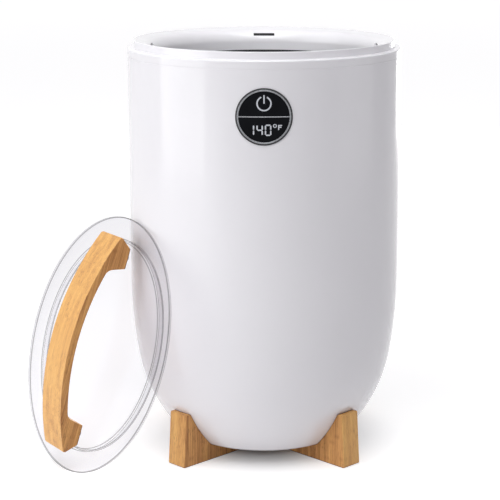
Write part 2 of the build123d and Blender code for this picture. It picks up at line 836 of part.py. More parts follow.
with BuildPart() as panel_retainer:
    with BuildSketch(panel_plane):
        Circle(barrel_radius + retainer_width)
        Circle(barrel_radius + panel_fit, mode=Mode.SUBTRACT)
    extrude(amount=shell_radius)
    add(wall_layer(shell_bore - panel_fit - retainer_thickness, shell_bore - panel_fit), mode=Mode.INTERSECT)
panel_retainer.part.label = "panel_retainer"
export_step(panel_retainer.part, "parts/panel_retainer.step")

# ---------------------------------------------------------------- power button and switch

switch_top = display_board_front + switch_height
plunger_tip = switch_top + plunger_above_switch
post_end = plate_front - barrel_plate - guide_post_beyond

with BuildPart() as power_button:
    extrude(half_disc(panel_plane, window_radius - button_gap, half_divider + button_gap, 1),
            amount=shell_radius + panel_radius)
    add(wall_layer(button_back, glass_front), mode=Mode.INTERSECT)
    # Stem towards the switch, and the two posts that guide the cap
    with BuildSketch(panel_plane.offset(plunger_tip)):
        with Locations(stem_centre):
            Circle(button_stem_radius)
    extrude(amount=button_back + button_thickness / 4 - plunger_tip)
    with BuildSketch(panel_plane.offset(post_end)):
        with Locations(*post_spots):
            Circle(guide_post_radius)
    extrude(amount=button_back + button_thickness / 4 - post_end)
power_button.part.label = "power_button"
export_step(power_button.part, "parts/power_button.step")

with BuildPart() as switch_plunger:
    with BuildSketch(panel_plane.offset(switch_top - plunger_hold)):
        with Locations(stem_centre):
            Circle(plunger_radius)
    extrude(amount=plunger_tip - switch_top + plunger_hold)
switch_plunger.part.label = "switch_plunger"
export_step(switch_plunger.part, "parts/switch_plunger.step")

with BuildPart() as tactile_switch:
    with BuildSketch(panel_plane.offset(display_board_front)):
        with Locations(stem_centre):
            Rectangle(switch_size, switch_size)
    extrude(amount=switch_height)
    with BuildSketch(panel_plane.offset(switch_top)):
        with Locations(stem_centre):
            Circle(plunger_radius + plunger_fit)
    extrude(amount=-(plunger_hold + button_travel + plunger_stroke_room), mode=Mode.SUBTRACT)
tactile_switch.part.label = "tactile_switch"
export_step(tactile_switch.part, "parts/tactile_switch.step")

# ---------------------------------------------------------------- digits' module and round board

with BuildPart() as led_module:
    with BuildSketch(panel_plane.offset(display_board_front)):
        with Locations(module_centre):
            Rectangle(module_width, module_height)
    extrude(amount=lens_back - module_gap - display_board_front)
    add(wall_layer(0.5 * shell_radius, lens_back - module_gap), mode=Mode.INTERSECT)
led_module.part.label = "led_module"
export_step(led_module.part, "parts/led_module.step")

with BuildPart() as display_board:
    with BuildSketch(panel_plane.offset(display_board_front)):
        Circle(display_board_radius)
        with Locations(*display_screw_spots):
            Circle(small_screw_shank + shank_clearance, mode=Mode.SUBTRACT)
    extrude(amount=-board_thickness)
display_board.part.label = "display_board"
export_step(display_board.part, "parts/display_board.step")

with BuildPart() as display_screws:
    add(screws(panel_plane.offset(display_board_front - board_thickness), display_screw_spots,
               small_screw_shank, board_thickness + display_board_gap - shank_clearance,
               small_screw_head, small_screw_head_height))
display_screws.part.label = "display_screws"
export_step(display_screws.part, "parts/display_screws.step")

# ---------------------------------------------------------------- main board

with BuildPart() as main_board:
    with BuildSketch(Plane.XY.offset(board_bottom)):
        Rectangle(main_board_length, main_board_width)
        with Locations(*board_spots):
            Circle(screw_shank + shank_clearance, mode=Mode.SUBTRACT)
    extrude(amount=board_thickness)
main_board.part.label = "main_board"
export_step(main_board.part, "parts/main_board.step")

with BuildPart() as board_screws:
    screw_plane = Plane(origin=(0, 0, board_top), x_dir=(1, 0, 0), z_dir=(0, 0, -1))
    add(screws(screw_plane, board_spots, screw_shank,
               board_thickness + standoff_height - shank_clearance, screw_head, screw_head_height))
board_screws.part.label = "board_screws"
export_step(board_screws.part, "parts/board_screws.step")

with BuildPart() as relay:
    with BuildSketch(Plane.XY.offset(board_top)):
        with Locations((component_reach, 0)):
            Rectangle(relay_size[0], relay_size[1])
    extrude(amount=relay_size[2])
    chamfer(relay.edges().group_by(Axis.Z)[-1], relay_chamfer)
relay.part.label = "relay"
export_step(relay.part, "parts/relay.step")

with BuildPart() as transformer:
    with BuildSketch(Plane.XY.offset(board_top)):
        Rectangle(transformer_size[0], transformer_size[1])
    extrude(amount=transformer_size[2])
    with BuildSketch(Plane.XZ.offset(transformer_size[1] / 2)):
        for end in (-1, 1):
            with Locations((end * transformer_size[0] / 2, board_top + transformer_size[2] / 2)):
                Rectangle(transformer_size[0] / 4, transformer_size[2] / 2)
    extrude(amount=-transformer_size[1], mode=Mode.SUBTRACT)
transformer.part.label = "transformer"
export_step(transformer.part, "parts/transformer.step")

with BuildPart() as terminal_block:
    with BuildSketch(Plane.XY.offset(board_top)):
        with Locations((-component_reach, 0)):
            Rectangle(terminal_size[0], terminal_size[1])
    extrude(amount=terminal_size[2])
    with BuildSketch(Plane.XY.offset(board_top + terminal_size[2])):
        with Locations((-component_reach, 0)):
            with GridLocations(0, terminal_pitch, 1, terminal_ways):
                Circle(terminal_hole_radius)
    extrude(amount=-terminal_size[2] / 2, mode=Mode.SUBTRACT)
terminal_block.part.label = "terminal_block"
export_step(terminal_block.part, "parts/terminal_block.step")

# ---------------------------------------------------------------- cord gland

with BuildPart() as cord_gland:
    with BuildSketch(gland_plane):
        Circle(gland_flange_radius)
    extrude(amount=gland_flange_thickness)
    chamfer(cord_gland.faces().sort_by(Axis.Y)[-1].edges(), gland_flange_thickness / 3)
    with BuildSketch(gland_plane):
        Circle(gland_body_radius)
    extrude(amount=-(gland_boss_depth + gland_nut_thickness))
    with BuildSketch(gland_plane.offset(gland_flange_thickness)):
        Circle(gland_bore_radius)
    extrude(amount=-(gland_flange_thickness + gland_boss_depth + gland_nut_thickness), mode=Mode.SUBTRACT)
cord_gland.part.label = "cord_gland"
export_step(cord_gland.part, "parts/cord_gland.step")

with BuildPart() as gland_nut:
    with BuildSketch(gland_plane.offset(-gland_boss_depth)):
        RegularPolygon(gland_nut_across / 2, 6, major_radius=False)
        Circle(gland_body_radius + thread_fit, mode=Mode.SUBTRACT)
    extrude(amount=-gland_nut_thickness)
gland_nut.part.label = "gland_nut"
export_step(gland_nut.part, "parts/gland_nut.step")

# ---------------------------------------------------------------- where the lid leans

# The lid's outer face looks along facing. Its rim touches the wall at the azimuth lid_touch and
# the floor at its lowest point, each with a small gap.
facing = Vector(-cos(radians(lid_facing)) * cos(radians(lid_lean)),
                -sin(radians(lid_facing)) * cos(radians(lid_lean)),
                sin(radians(lid_lean)))
across = Vector(0, 0, 1).cross(facing).normalized()
upslope = facing.cross(across)
from_axis = Vector(-cos(radians(lid_touch)), -sin(radians(lid_touch)), 0)
touch_turn = atan2(-from_axis.dot(upslope), -from_axis.dot(across))
rim_spoke = across * (lid_radius * cos(touch_turn)) + upslope * (lid_radius * sin(touch_turn))
touch_point = from_axis * (shell_radius + lean_gap)
lid_centre = touch_point - rim_spoke + facing * lid_thickness
lowest_rim = lid_centre - upslope * lid_radius - facing * lid_thickness
lid_centre = Vector(lid_centre.X, lid_centre.Y, lid_centre.Z - lowest_rim.Z + floor_gap)
lid_plane = Plane(origin=lid_centre, x_dir=across, z_dir=facing)
arch_plane = Plane(origin=lid_centre, x_dir=upslope, z_dir=across)

# ---------------------------------------------------------------- lid

foot_outer = skirt_inner - handle_foot_margin
foot_inner = foot_outer - handle_foot_length
foot_middle = (foot_outer + foot_inner) / 2
arch_end = foot_outer + handle_overhang
lid_screw_spots = [
    (side * lid_screw_spread / 2, end * foot_middle)
    for side in (-1, 1)
    for end in (-1, 1)
]

with BuildPart() as lid_disc:
    with BuildSketch(lid_plane):
        Circle(lid_radius)
    extrude(amount=-lid_thickness)
    fillet(lid_disc.edges().filter_by(GeomType.CIRCLE), lid_edge_rounding)
    with BuildSketch(lid_plane.offset(-lid_thickness)):
        Circle(skirt_outer)
        Circle(skirt_inner, mode=Mode.SUBTRACT)
    extrude(amount=-skirt_depth)
    with BuildSketch(lid_plane):
        with Locations(*lid_screw_spots):
            Circle(screw_shank + shank_clearance)
    extrude(amount=-lid_thickness, mode=Mode.SUBTRACT)
lid_disc.part.label = "lid_disc"
export_step(lid_disc.part, "parts/lid_disc.step")

# ---------------------------------------------------------------- lid's handle

arch_rise = handle_peak - handle_end_height
arch_radius = (arch_end**2 + arch_rise**2) / (2 * arch_rise)
under_radius = arch_radius - handle_thickness
under_end = foot_inner - handle_inner_lean
under_end_height = handle_peak - arch_radius + sqrt(under_radius**2 - under_end**2)
under_peak = handle_peak - handle_thickness

with BuildPart() as lid_handle:
    with BuildSketch(arch_plane) as arch_section:
        with BuildLine():
            ThreePointArc((arch_end, handle_end_height), (0, handle_peak), (-arch_end, handle_end_height))
            Polyline(
                (-arch_end, handle_end_height),
                (-foot_outer, 0),
                (-foot_inner, 0),
                (-under_end, under_end_height),
            )
            ThreePointArc((-under_end, under_end_height), (0, under_peak), (under_end, under_end_height))
            Polyline(
                (under_end, under_end_height),
                (foot_inner, 0),
                (foot_outer, 0),
                (arch_end, handle_end_height),
            )
        make_face()
        under_corners = arch_section.vertices().filter_by(lambda spot: abs(spot.Y - under_end_height) < 0.01)
        end_corners = arch_section.vertices().filter_by(lambda spot: abs(spot.Y - handle_end_height) < 0.01)
        fillet(under_corners, handle_inner_rounding)
        fillet(end_corners, handle_end_rounding)
    extrude(amount=handle_width / 2, both=True)
    arch_edges = lid_handle.edges().filter_by(GeomType.CIRCLE).filter_by(
        lambda edge: edge.radius > arch_end)
    fillet(arch_edges, handle_edge_rounding)
    with BuildSketch(lid_plane):
        with Locations(*lid_screw_spots):
            Circle(screw_shank + thread_fit)
    extrude(amount=lid_screw_bite, mode=Mode.SUBTRACT)
lid_handle.part.label = "lid_handle"
export_step(lid_handle.part, "parts/lid_handle.step")

with BuildPart() as lid_washers:
    with BuildSketch(lid_plane.offset(-lid_thickness)):
        with Locations(*lid_screw_spots):
            Circle(washer_radius)
            Circle(screw_shank + shank_clearance, mode=Mode.SUBTRACT)
    extrude(amount=-washer_thickness)
lid_washers.part.label = "lid_washers"
export_step(lid_washers.part, "parts/lid_washers.step")

with BuildPart() as lid_screws:
    add(screws(lid_plane.offset(-lid_thickness - washer_thickness), lid_screw_spots, screw_shank,
               washer_thickness + lid_thickness + lid_screw_bite - shank_clearance,
               screw_head, screw_head_height))
lid_screws.part.label = "lid_screws"
export_step(lid_screws.part, "parts/lid_screws.step")
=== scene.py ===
import json
from cmath import phase, rect
from math import acos, cos, pi, radians, sin, sqrt, tan

import bmesh
import bpy
from mathutils import Matrix, Vector


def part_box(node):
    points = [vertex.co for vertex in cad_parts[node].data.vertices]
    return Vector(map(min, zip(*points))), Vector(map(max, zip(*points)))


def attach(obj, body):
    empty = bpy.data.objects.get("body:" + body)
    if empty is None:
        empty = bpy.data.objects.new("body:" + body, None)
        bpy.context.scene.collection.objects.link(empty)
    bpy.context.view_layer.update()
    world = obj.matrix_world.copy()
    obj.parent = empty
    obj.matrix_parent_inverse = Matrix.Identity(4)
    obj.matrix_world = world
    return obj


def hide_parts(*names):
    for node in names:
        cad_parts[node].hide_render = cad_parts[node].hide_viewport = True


# Towel warmer bucket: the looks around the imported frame. Metres, +Z up, panel towards -Y.

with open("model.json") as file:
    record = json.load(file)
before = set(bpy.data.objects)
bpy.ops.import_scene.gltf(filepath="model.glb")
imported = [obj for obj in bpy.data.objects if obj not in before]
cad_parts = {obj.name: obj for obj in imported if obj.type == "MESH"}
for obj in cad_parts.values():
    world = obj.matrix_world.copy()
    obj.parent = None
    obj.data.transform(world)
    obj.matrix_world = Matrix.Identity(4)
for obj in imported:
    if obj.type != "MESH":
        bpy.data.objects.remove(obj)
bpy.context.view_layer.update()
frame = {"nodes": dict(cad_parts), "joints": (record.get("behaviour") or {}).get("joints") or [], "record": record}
mm = 0.001

# ------------------------------------------------------------ sizes

# Bucket wall and bowl, whose bends are (radius, degrees, steps)
shell_low, shell_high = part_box("outer_shell")
collar_low, collar_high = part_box("top_collar")
wall_radius = shell_high.x
seam_height = shell_high.z
body_bottom = shell_low.z
crown = collar_high.z
shell_wall = 2.5 * mm
parting_chamfer = 0.35 * mm
bowl_bends = ((504 * mm, 9.8, 10), (169 * mm, 33.7, 18), (15.6 * mm, 46.5, 10))

# Bottom opening and its ledge
cover_gap = 0.2 * mm
cover_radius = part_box("bottom_cover")[1].x + cover_gap
cover_thickness = 3 * mm
ledge_width = 8 * mm
ledge_thickness = 3 * mm

# Collar
band_height = 9 * mm
band_rounding = 1.6 * mm
lip_radius = wall_radius - 7 * mm
lip_rounding = 0.9 * mm
lip_root_rounding = 0.5 * mm
mouth_radius = 120 * mm
mouth_edge = crown - 5.5 * mm
mouth_rounding = 14 * mm
collar_wall = 2.5 * mm
spigot_gap = 0.2 * mm
slot_width = 24.5 * mm
slot_height = 3 * mm
slot_below_mouth = 0.9 * mm
slot_depth = 9 * mm

# Gasket between the collar and the pot, and its lip, a dark piece put in as painted shade for the gap under the
# mouth's wall
gasket_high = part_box("collar_gasket")[1]
gasket_radius = gasket_high.x
throat_bottom = gasket_high.z
shade_lip_width = 1.0 * mm
shade_lip_height = 2.3 * mm
shade_lip_gap = 0.1 * mm
shade_lip_rounding = 0.3 * mm

# Pot
pot_low, pot_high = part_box("inner_pot")
pot_flange_radius = pot_high.x
pot_flange_top = pot_high.z
pot_radius = 126 * mm
pot_wall = 1.2 * mm
pot_corner = 15 * mm
pot_floor = body_bottom + 79.7 * mm
stud_radius = 3 * mm
stud_rounding = 0.4 * mm

# Stand
bar_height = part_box("stand_bar_upper")[1].z
bar_width = 26 * mm
bar_reach = wall_radius - 13 * mm
bar_end_lean = 4 * mm
bar_corner_rounding = 1.6 * mm
bar_edge_rounding = 1.1 * mm
cradle_gap = 0.3 * mm
halving_gap = 0.1 * mm
halving_level = body_bottom / 2
screw_circle = 60 * mm
screw_sink = 6 * mm
screw_sink_radius = 4.2 * mm
screw_hole_radius = 2.2 * mm

# Cord gland
gland_low, gland_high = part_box("cord_gland")
gland_height = (gland_low.z + gland_high.z) / 2
gland_boss_radius = 12 * mm
gland_flange = 3 * mm
gland_boss_face = gland_high.y - gland_flange
gland_hole_radius = 7.1 * mm
gland_boss_depth = 9 * mm

# Control panel
panel_low, panel_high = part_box("panel_housing")
panel_radius = panel_high.x
panel_height = (panel_low.z + panel_high.z) / 2
panel_hole_radius = panel_radius - 0.8 * mm
rim_front = 0.6 * mm
bezel_outer = panel_radius - 1.6 * mm
window_radius = panel_radius - 3.2 * mm
bezel_front = rim_front + 0.15 * mm
bezel_back = bezel_front - 0.8 * mm
bezel_rounding = 0.38 * mm
divider_width = 1.1 * mm
divider_overlap = 0.4 * mm
lens_gap = 0.08 * mm
lens_thickness = 2.4 * mm
button_gap = 0.3 * mm
button_thickness = 2.2 * mm
glass_edge = 0.3 * mm
stem_radius = 2.5 * mm
stem_height = 13.2 * mm
stem_overlap = 0.3 * mm
post_radius = 1.8 * mm
post_spread = 14 * mm
post_height = 6.5 * mm

# Power sign and figures, right and up from the panel's centre. The sign's gap reaches the given degrees
# to each side of its top, and a digit's place is its left, its right and the bars that are lit.
sign_rise = 0.05 * mm
power_sign_height = 13.7 * mm
power_sign_radius = 7.8 * mm
power_sign_stroke = 1.45 * mm
power_sign_gap = 24
power_bar_top = 8.8 * mm
digit_top = -7.6 * mm
digit_bottom = -19.3 * mm
digit_stroke = 1.45 * mm
digit_places = (
    (-11.5 * mm, -9.9 * mm, "bc"),
    (-7.8 * mm, -1.1 * mm, "fgbc"),
    (0.8 * mm, 7.6 * mm, "abcdef"),
)
segment_gap = 0.16 * mm
degree_centre = complex(11.1, -9.1) * mm
degree_radius = 2.0 * mm
degree_stroke = 0.85 * mm
unit_left = 14.3 * mm
unit_right = 18.4 * mm
unit_bottom = -13.3 * mm
unit_middle = -9.9 * mm
unit_top = -8.1 * mm
unit_stroke = 1.15 * mm
unit_step = 0.6 * mm

# Lid
lid_low, lid_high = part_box("lid_disc")
lid_radius = lip_radius - 1.2 * mm
lid_thickness = 3.5 * mm
lid_rounding = 1.6 * mm
skirt_outer = mouth_radius - 2.2 * mm
skirt_wall = 2.2 * mm
skirt_depth = 7 * mm
skirt_rounding = 0.5 * mm
skirt_root_rounding = 0.6 * mm

# Lid's own frame: across, upslope and the way it faces
lid_pull = next(joint for joint in frame["joints"] if joint["name"] == "lid_pull")
facing = Vector(lid_pull["axis"]).normalized()
across_lid = Vector((0, 0, 1)).cross(facing).normalized()
upslope = facing.cross(across_lid)
lid_centre = (lid_low + lid_high) / 2 + facing * (lid_thickness / 2)
lid_frame = Matrix.Translation(lid_centre) @ Matrix((across_lid, upslope, facing)).transposed().to_4x4()

# Lid's handle
handle_width = 43 * mm
handle_peak = 42 * mm
handle_thickness = 8.5 * mm
foot_outer = skirt_outer - skirt_wall - 4.6 * mm
foot_inner = foot_outer - 23 * mm
arch_end = foot_outer + 10.5 * mm
arch_end_height = 14.4 * mm
under_end = foot_inner - 5 * mm
under_rounding = 10 * mm
arch_end_rounding = 2 * mm
handle_edge_rounding = 1.3 * mm
lid_screw_spread = 10 * mm
lid_screw_reach = (foot_outer + foot_inner) / 2
lid_screw_hole = 1.7 * mm

# Bamboo's strips, layers and knuckles
strip_width = 6.6 * mm
layer_thickness = 7.2 * mm
knuckle_spacing = 83 * mm
knuckle_half_width = 3.5 * mm

# Studio: the floor's glow is (distance from the middle, light), kept low near the middle as a painted shadow, and
# the camera's tilt is in radians
floor_reach = 14
floor_glow = ((0.056, 0.02), (0.072, 0.19), (0.085, 0.32), (0.10, 0.44), (0.12, 0.52), (0.145, 0.65),
              (0.30, 0.58), (0.80, 0.60), (1.5, 0.71), (2.5, 0.82), (6.5, 0.90))
camera_distance = 1.76908
camera_height = 0.632565
camera_tilt = 0.228


# ------------------------------------------------------------ outlines: points are across + 1j * up

def bend(start, heading, radius, degrees, steps):
    """Points after start along an arc that turns right, and the heading at its end."""
    centre = start - 1j * heading * radius
    turn = -radians(degrees)
    points = [centre + (start - centre) * rect(1, turn * step / steps) for step in range(1, steps + 1)]
    return points, heading * rect(1, turn)


def bowl_curve(inset):
    """From the straight wall's lower end to the flat bottom, moved inward by inset."""
    fall = 0
    heading = -1j
    for radius, degrees, steps in bowl_bends:
        run, heading = bend(0j, heading, radius, degrees, steps)
        fall -= run[-1].imag
    points = [complex(wall_radius - inset, body_bottom + fall)]
    heading = -1j
    for radius, degrees, steps in bowl_bends:
        run, heading = bend(points[-1], heading, radius - inset, degrees, steps)
        points += run
    return points


def rounded(corners, steps=5):
    """Closed outline through (point, rounding radius) corners."""
    outline = []
    for index, (point, radius) in enumerate(corners):
        if radius == 0:
            outline.append(point)
            continue
        before = corners[index - 1][0] - point
        after = corners[(index + 1) % len(corners)][0] - point
        before /= abs(before)
        after /= abs(after)
        middle = (before + after) / abs(before + after)
        half = acos((before * middle.conjugate()).real)
        centre = point + middle * radius / sin(half)
        start = point + before * radius / tan(half)
        end = point + after * radius / tan(half)
        turn = phase((end - centre) / (start - centre))
        outline += [centre + (start - centre) * rect(1, turn * step / steps) for step in range(steps + 1)]
    return outline


# ------------------------------------------------------------ mesh making

weld_distance = 0.5e-6
on_axis = 1e-7
crease_angle = radians(32)


def solid(name, mesh):
    """Object from a bmesh, with its faces turned outward."""
    bmesh.ops.remove_doubles(mesh, verts=mesh.verts, dist=weld_distance)
    bmesh.ops.recalc_face_normals(mesh, faces=mesh.faces)
    data = bpy.data.meshes.new(name)
    mesh.to_mesh(data)
    mesh.free()
    made = bpy.data.objects.new(name, data)
    bpy.context.scene.collection.objects.link(made)
    return made


def bridge(mesh, loops, closed):
    """Faces between neighbouring loops of vertices, and from the last loop to the first if closed."""
    pairs = list(zip(loops, loops[1:]))
    if closed:
        pairs.append((loops[-1], loops[0]))
    for first, second in pairs:
        count = max(len(first), len(second))
        for step in range(count):
            corners = []
            for loop, place in ((first, step), (first, step + 1), (second, step + 1), (second, step)):
                corner = loop[place % len(loop)]
                if corner not in corners:
                    corners.append(corner)
            if len(corners) > 2:
                mesh.faces.new(corners)


def lathe(name, outline, segments=256):
    """Solid of revolution about Z from a closed outline of radius + 1j * height."""
    mesh = bmesh.new()
    turns = [2 * pi * step / segments for step in range(segments)]
    loops = []
    for point in outline:
        spots = turns if point.real > on_axis else [0]
        loops.append([
            mesh.verts.new((point.real * cos(turn), point.real * sin(turn), point.imag))
            for turn in spots
        ])
    bridge(mesh, loops, closed=True)
    return solid(name, mesh)


def prism(name, outline, place, rounding, keep=None):
    """Solid between two copies of an outline: place(point, side) gives a corner, side is -1 or 1.
    Edges of the two faces are rounded, apart from those that keep(edge) picks out."""
    mesh = bmesh.new()
    loops = [[mesh.verts.new(place(point, side)) for point in outline] for side in (-1, 1)]
    faces = [mesh.faces.new(loop) for loop in loops]
    bridge(mesh, loops, closed=False)
    edges = [edge for face in faces for edge in face.edges if keep is None or not keep(edge)]
    bmesh.ops.bevel(mesh, geom=edges, offset=rounding, segments=3, profile=0.5, affect="EDGES")
    return solid(name, mesh)


def block_cutter(low, high):
    """Plain block, for cutting with."""
    mesh = bmesh.new()
    bmesh.ops.create_cube(mesh, size=1)
    size = Vector(high) - Vector(low)
    centre = (Vector(high) + Vector(low)) / 2
    place = Matrix.Translation(centre) @ Matrix.Diagonal((*size, 1))
    bmesh.ops.transform(mesh, matrix=place, verts=mesh.verts)
    return solid("cutter", mesh)


def rod(mesh, start, end, radius, segments=48):
    """Adds a closed round rod between two points."""
    axis = Vector(end) - Vector(start)
    turn = axis.to_track_quat("Z", "Y").to_matrix().to_4x4()
    place = Matrix.Translation((Vector(start) + Vector(end)) / 2) @ turn
    bmesh.ops.create_cone(mesh, cap_ends=True, segments=segments, radius1=radius, radius2=radius,
                          depth=axis.length, matrix=place)


def rod_cutter(start, end, radius, segments=48):
    """Round rod, for cutting with or joining on."""
    mesh = bmesh.new()
    rod(mesh, start, end, radius, segments)
    return solid("cutter", mesh)


def carve(piece, cutter, operation="DIFFERENCE"):
    """Cuts the cutter out of the piece, or joins it on, and removes the cutter."""
    step = piece.modifiers.new("carve", "BOOLEAN")
    step.operation = operation
    step.solver = "EXACT"
    step.object = cutter
    graph = bpy.context.evaluated_depsgraph_get()
    piece.data = bpy.data.meshes.new_from_object(piece.evaluated_get(graph))
    piece.modifiers.clear()
    bpy.data.objects.remove(cutter)


def settle(piece, body, slot, node_name):
    """Shades a finished piece, gives it its material, ties it to its body and hides its CAD node."""
    piece.data.materials.clear()
    piece.data.materials.append(materials[slot])
    piece.data.shade_smooth()
    piece.data.set_sharp_from_angle(angle=crease_angle)
    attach(piece, body)
    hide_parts(node_name)


def add_grain_and_side_shade(piece, along, across, depth):
    """Stores the wood's own coordinates: along the fibres, across the strips and into the depth,
    and how near each point is to the two flat sides, where the bamboo paints shade."""
    kept = piece.data.attributes
    kept.new("grain", "FLOAT_VECTOR", "POINT")
    kept.new("side_shade", "FLOAT", "POINT")
    half_width = max(spot.co.dot(across) for spot in piece.data.vertices)
    for spot, place, nearness in zip(piece.data.vertices, kept["grain"].data, kept["side_shade"].data):
        place.vector = (spot.co.dot(along), spot.co.dot(across), spot.co.dot(depth))
        nearness.value = abs(spot.co.dot(across)) / half_width


# ------------------------------------------------------------ shader making

def connect(tree, target, inputs):
    """Links sockets to a node's inputs and sets plain values on them."""
    for key, value in inputs.items():
        if isinstance(value, bpy.types.NodeSocket):
            tree.links.new(value, target.inputs[key])
        else:
            target.inputs[key].default_value = value


def node(tree, kind, inputs, **settings):
    """Shader node with its settings and inputs."""
    made = tree.nodes.new(kind)
    for key, value in settings.items():
        setattr(made, key, value)
    connect(tree, made, inputs)
    return made


def maths(tree, operation, first, second=0.0, third=0.0):
    """Answer of a Math node."""
    return node(tree, "ShaderNodeMath", {0: first, 1: second, 2: third}, operation=operation).outputs[0]


def vector_maths(tree, operation, *inputs):
    """Answer of a Vector Math node: a number for a length, a distance or a dot product, or else a vector."""
    made = node(tree, "ShaderNodeVectorMath", dict(enumerate(inputs)), operation=operation)
    return made.outputs["Value" if operation in ("LENGTH", "DISTANCE", "DOT_PRODUCT") else "Vector"]


def scaled(tree, vector, factor):
    """Vector or colour times a number."""
    return node(tree, "ShaderNodeVectorMath", {0: vector, "Scale": factor}, operation="SCALE").outputs[0]


def joined(tree, x, y):
    """Flat vector of two numbers."""
    return node(tree, "ShaderNodeCombineXYZ", {"X": x, "Y": y}).outputs[0]


def ramp(tree, factor, stops):
    """Colour ramp from (position, colour) stops."""
    made = node(tree, "ShaderNodeValToRGB", {"Fac": factor})
    elements = made.color_ramp.elements
    while len(elements) < len(stops):
        elements.new(0.5)
    for element, (position, colour) in zip(elements, stops):
        element.position = position
        element.color = (*colour, 1)
    return made.outputs["Color"]


def noise(tree, vector, scale, detail=3, roughness=0.5):
    """Noise that stays mostly between 0.3 and 0.7."""
    inputs = {"Vector": vector, "Scale": scale, "Detail": detail, "Roughness": roughness}
    return node(tree, "ShaderNodeTexNoise", inputs).outputs["Fac"]


def map_range(tree, value, start, end, low=0.0, high=1.0):
    """Maps start to end onto low to high, and stays at those beyond either end."""
    inputs = {"Value": value, "From Min": start, "From Max": end, "To Min": low, "To Max": high}
    return node(tree, "ShaderNodeMapRange", inputs).outputs[0]


def spread(tree, value, low, high):
    """Maps a noise value's usual range onto low to high."""
    return map_range(tree, value, 0.3, 0.7, low, high)


def bump(tree, height, strength, distance):
    """Normal of a surface that stands up by the distance where the height is 1."""
    inputs = {"Height": height, "Strength": strength, "Distance": distance}
    return node(tree, "ShaderNodeBump", inputs).outputs[0]


def mix(tree, factor, first, second):
    """Mix of two shaders: a factor of 0 gives the first, and 1 the second."""
    return node(tree, "ShaderNodeMixShader", {0: factor, 1: first, 2: second}).outputs[0]


def seen(tree):
    """1 for what is seen, straight or in a mirror or through glass, and 0 for what only gives light."""
    path = node(tree, "ShaderNodeLightPath", {}).outputs
    indirect = maths(tree, "MAXIMUM", path["Is Glossy Ray"], path["Is Transmission Ray"])
    return maths(tree, "MAXIMUM", path["Is Camera Ray"], indirect)


# ------------------------------------------------------------ materials

materials = {}


def start_material(name):
    """Keeps a new material under its name, and gives its tree, its Principled node and the object's
    own coordinates."""
    materials[name] = bpy.data.materials.new(name)
    materials[name].use_nodes = True
    tree = materials[name].node_tree
    place = node(tree, "ShaderNodeTexCoord", {}).outputs["Object"]
    return tree, tree.nodes["Principled BSDF"], place


def moulded(name, dark, light, rough, pore_scale, relief):
    """Moulded plastic, rubber or ceramic: faint cloudiness, uneven gloss and a fine surface."""
    tree, shader, place = start_material(name)
    connect(tree, shader, {
        "Base Color": ramp(tree, noise(tree, place, 14, 4, 0.6), ((0.3, dark), (0.7, light))),
        "Roughness": spread(tree, noise(tree, place, 60, 3), *rough),
        "Normal": bump(tree, noise(tree, place, pore_scale, 2), relief, 0.4 * mm),
    })


def metal(name, dark, light, rough, stretch, relief):
    """Bare metal with drawn or spun marks, stretched along one of the object's axes."""
    tree, shader, place = start_material(name)
    squeezed = node(tree, "ShaderNodeMapping", {"Vector": place, "Scale": stretch}).outputs[0]
    marks = noise(tree, squeezed, 1, 5, 0.65)
    connect(tree, shader, {
        "Base Color": ramp(tree, marks, ((0.25, dark), (0.75, light))),
        "Roughness": spread(tree, marks, *rough),
        "Normal": bump(tree, marks, relief, 0.3 * mm),
        "Metallic": 1,
    })


def spun_aluminium():
    """Pot's satin wall: fine rings about the axis, as a spun pan has."""
    tree, shader, place = start_material("pot_aluminium")
    parts = node(tree, "ShaderNodeSeparateXYZ", {"Vector": place}).outputs
    out = vector_maths(tree, "LENGTH", joined(tree, parts["X"], parts["Y"]))
    rings = noise(tree, joined(tree, out, parts["Z"]), 1500, 2, 0.7)
    stains = noise(tree, place, 9, 4, 0.6)
    both = maths(tree, "MULTIPLY_ADD", rings, 0.5, maths(tree, "MULTIPLY", stains, 0.5))
    connect(tree, shader, {
        "Base Color": ramp(tree, both, ((0.3, (0.37, 0.378, 0.392)), (0.7, (0.56, 0.57, 0.585)))),
        "Roughness": spread(tree, both, 0.36, 0.50),
        "Normal": bump(tree, rings, 0.12, 0.2 * mm),
        "Metallic": 1,
    })


def felt():
    """Needled felt: short fibres and small tufts."""
    tree, shader, place = start_material("grey_felt")
    fibres = noise(tree, place, 420, 6, 0.75)
    tufts = node(tree, "ShaderNodeTexVoronoi", {"Vector": place, "Scale": 260}).outputs["Distance"]
    connect(tree, shader, {
        "Base Color": ramp(tree, fibres, ((0.3, (0.36, 0.36, 0.35)), (0.7, (0.66, 0.66, 0.64)))),
        "Roughness": 0.95,
        "Normal": bump(tree, maths(tree, "ADD", fibres, tufts), 0.7, 1 * mm),
    })


def circuit_board():
    """Green solder mask with copper runs under it."""
    tree, shader, place = start_material("circuit_board")
    runs = node(tree, "ShaderNodeTexVoronoi", {"Vector": place, "Scale": 170},
                feature="DISTANCE_TO_EDGE", distance="MANHATTAN").outputs["Distance"]
    tone = noise(tree, place, 45, 3)
    edge = maths(tree, "MULTIPLY_ADD", tone, 0.12, runs)
    connect(tree, shader, {
        "Base Color": ramp(tree, edge, ((0.07, (0.10, 0.42, 0.20)), (0.12, (0.02, 0.20, 0.08)))),
        "Roughness": spread(tree, tone, 0.25, 0.4),
        "Normal": bump(tree, edge, 0.3, 0.2 * mm),
    })


def wound_coil():
    """Transformer's tape, with the turns under it showing as ridges."""
    tree, shader, place = start_material("transformer_yellow")
    turns = node(tree, "ShaderNodeTexWave", {"Vector": place, "Scale": 420, "Distortion": 0.6},
                 bands_direction="Z").outputs["Fac"]
    clouds = noise(tree, place, 130, 3)
    connect(tree, shader, {
        "Base Color": ramp(tree, clouds, ((0.3, (0.60, 0.47, 0.08)), (0.7, (0.84, 0.72, 0.22)))),
        "Roughness": 0.45,
        "Normal": bump(tree, turns, 0.4, 0.3 * mm),
    })


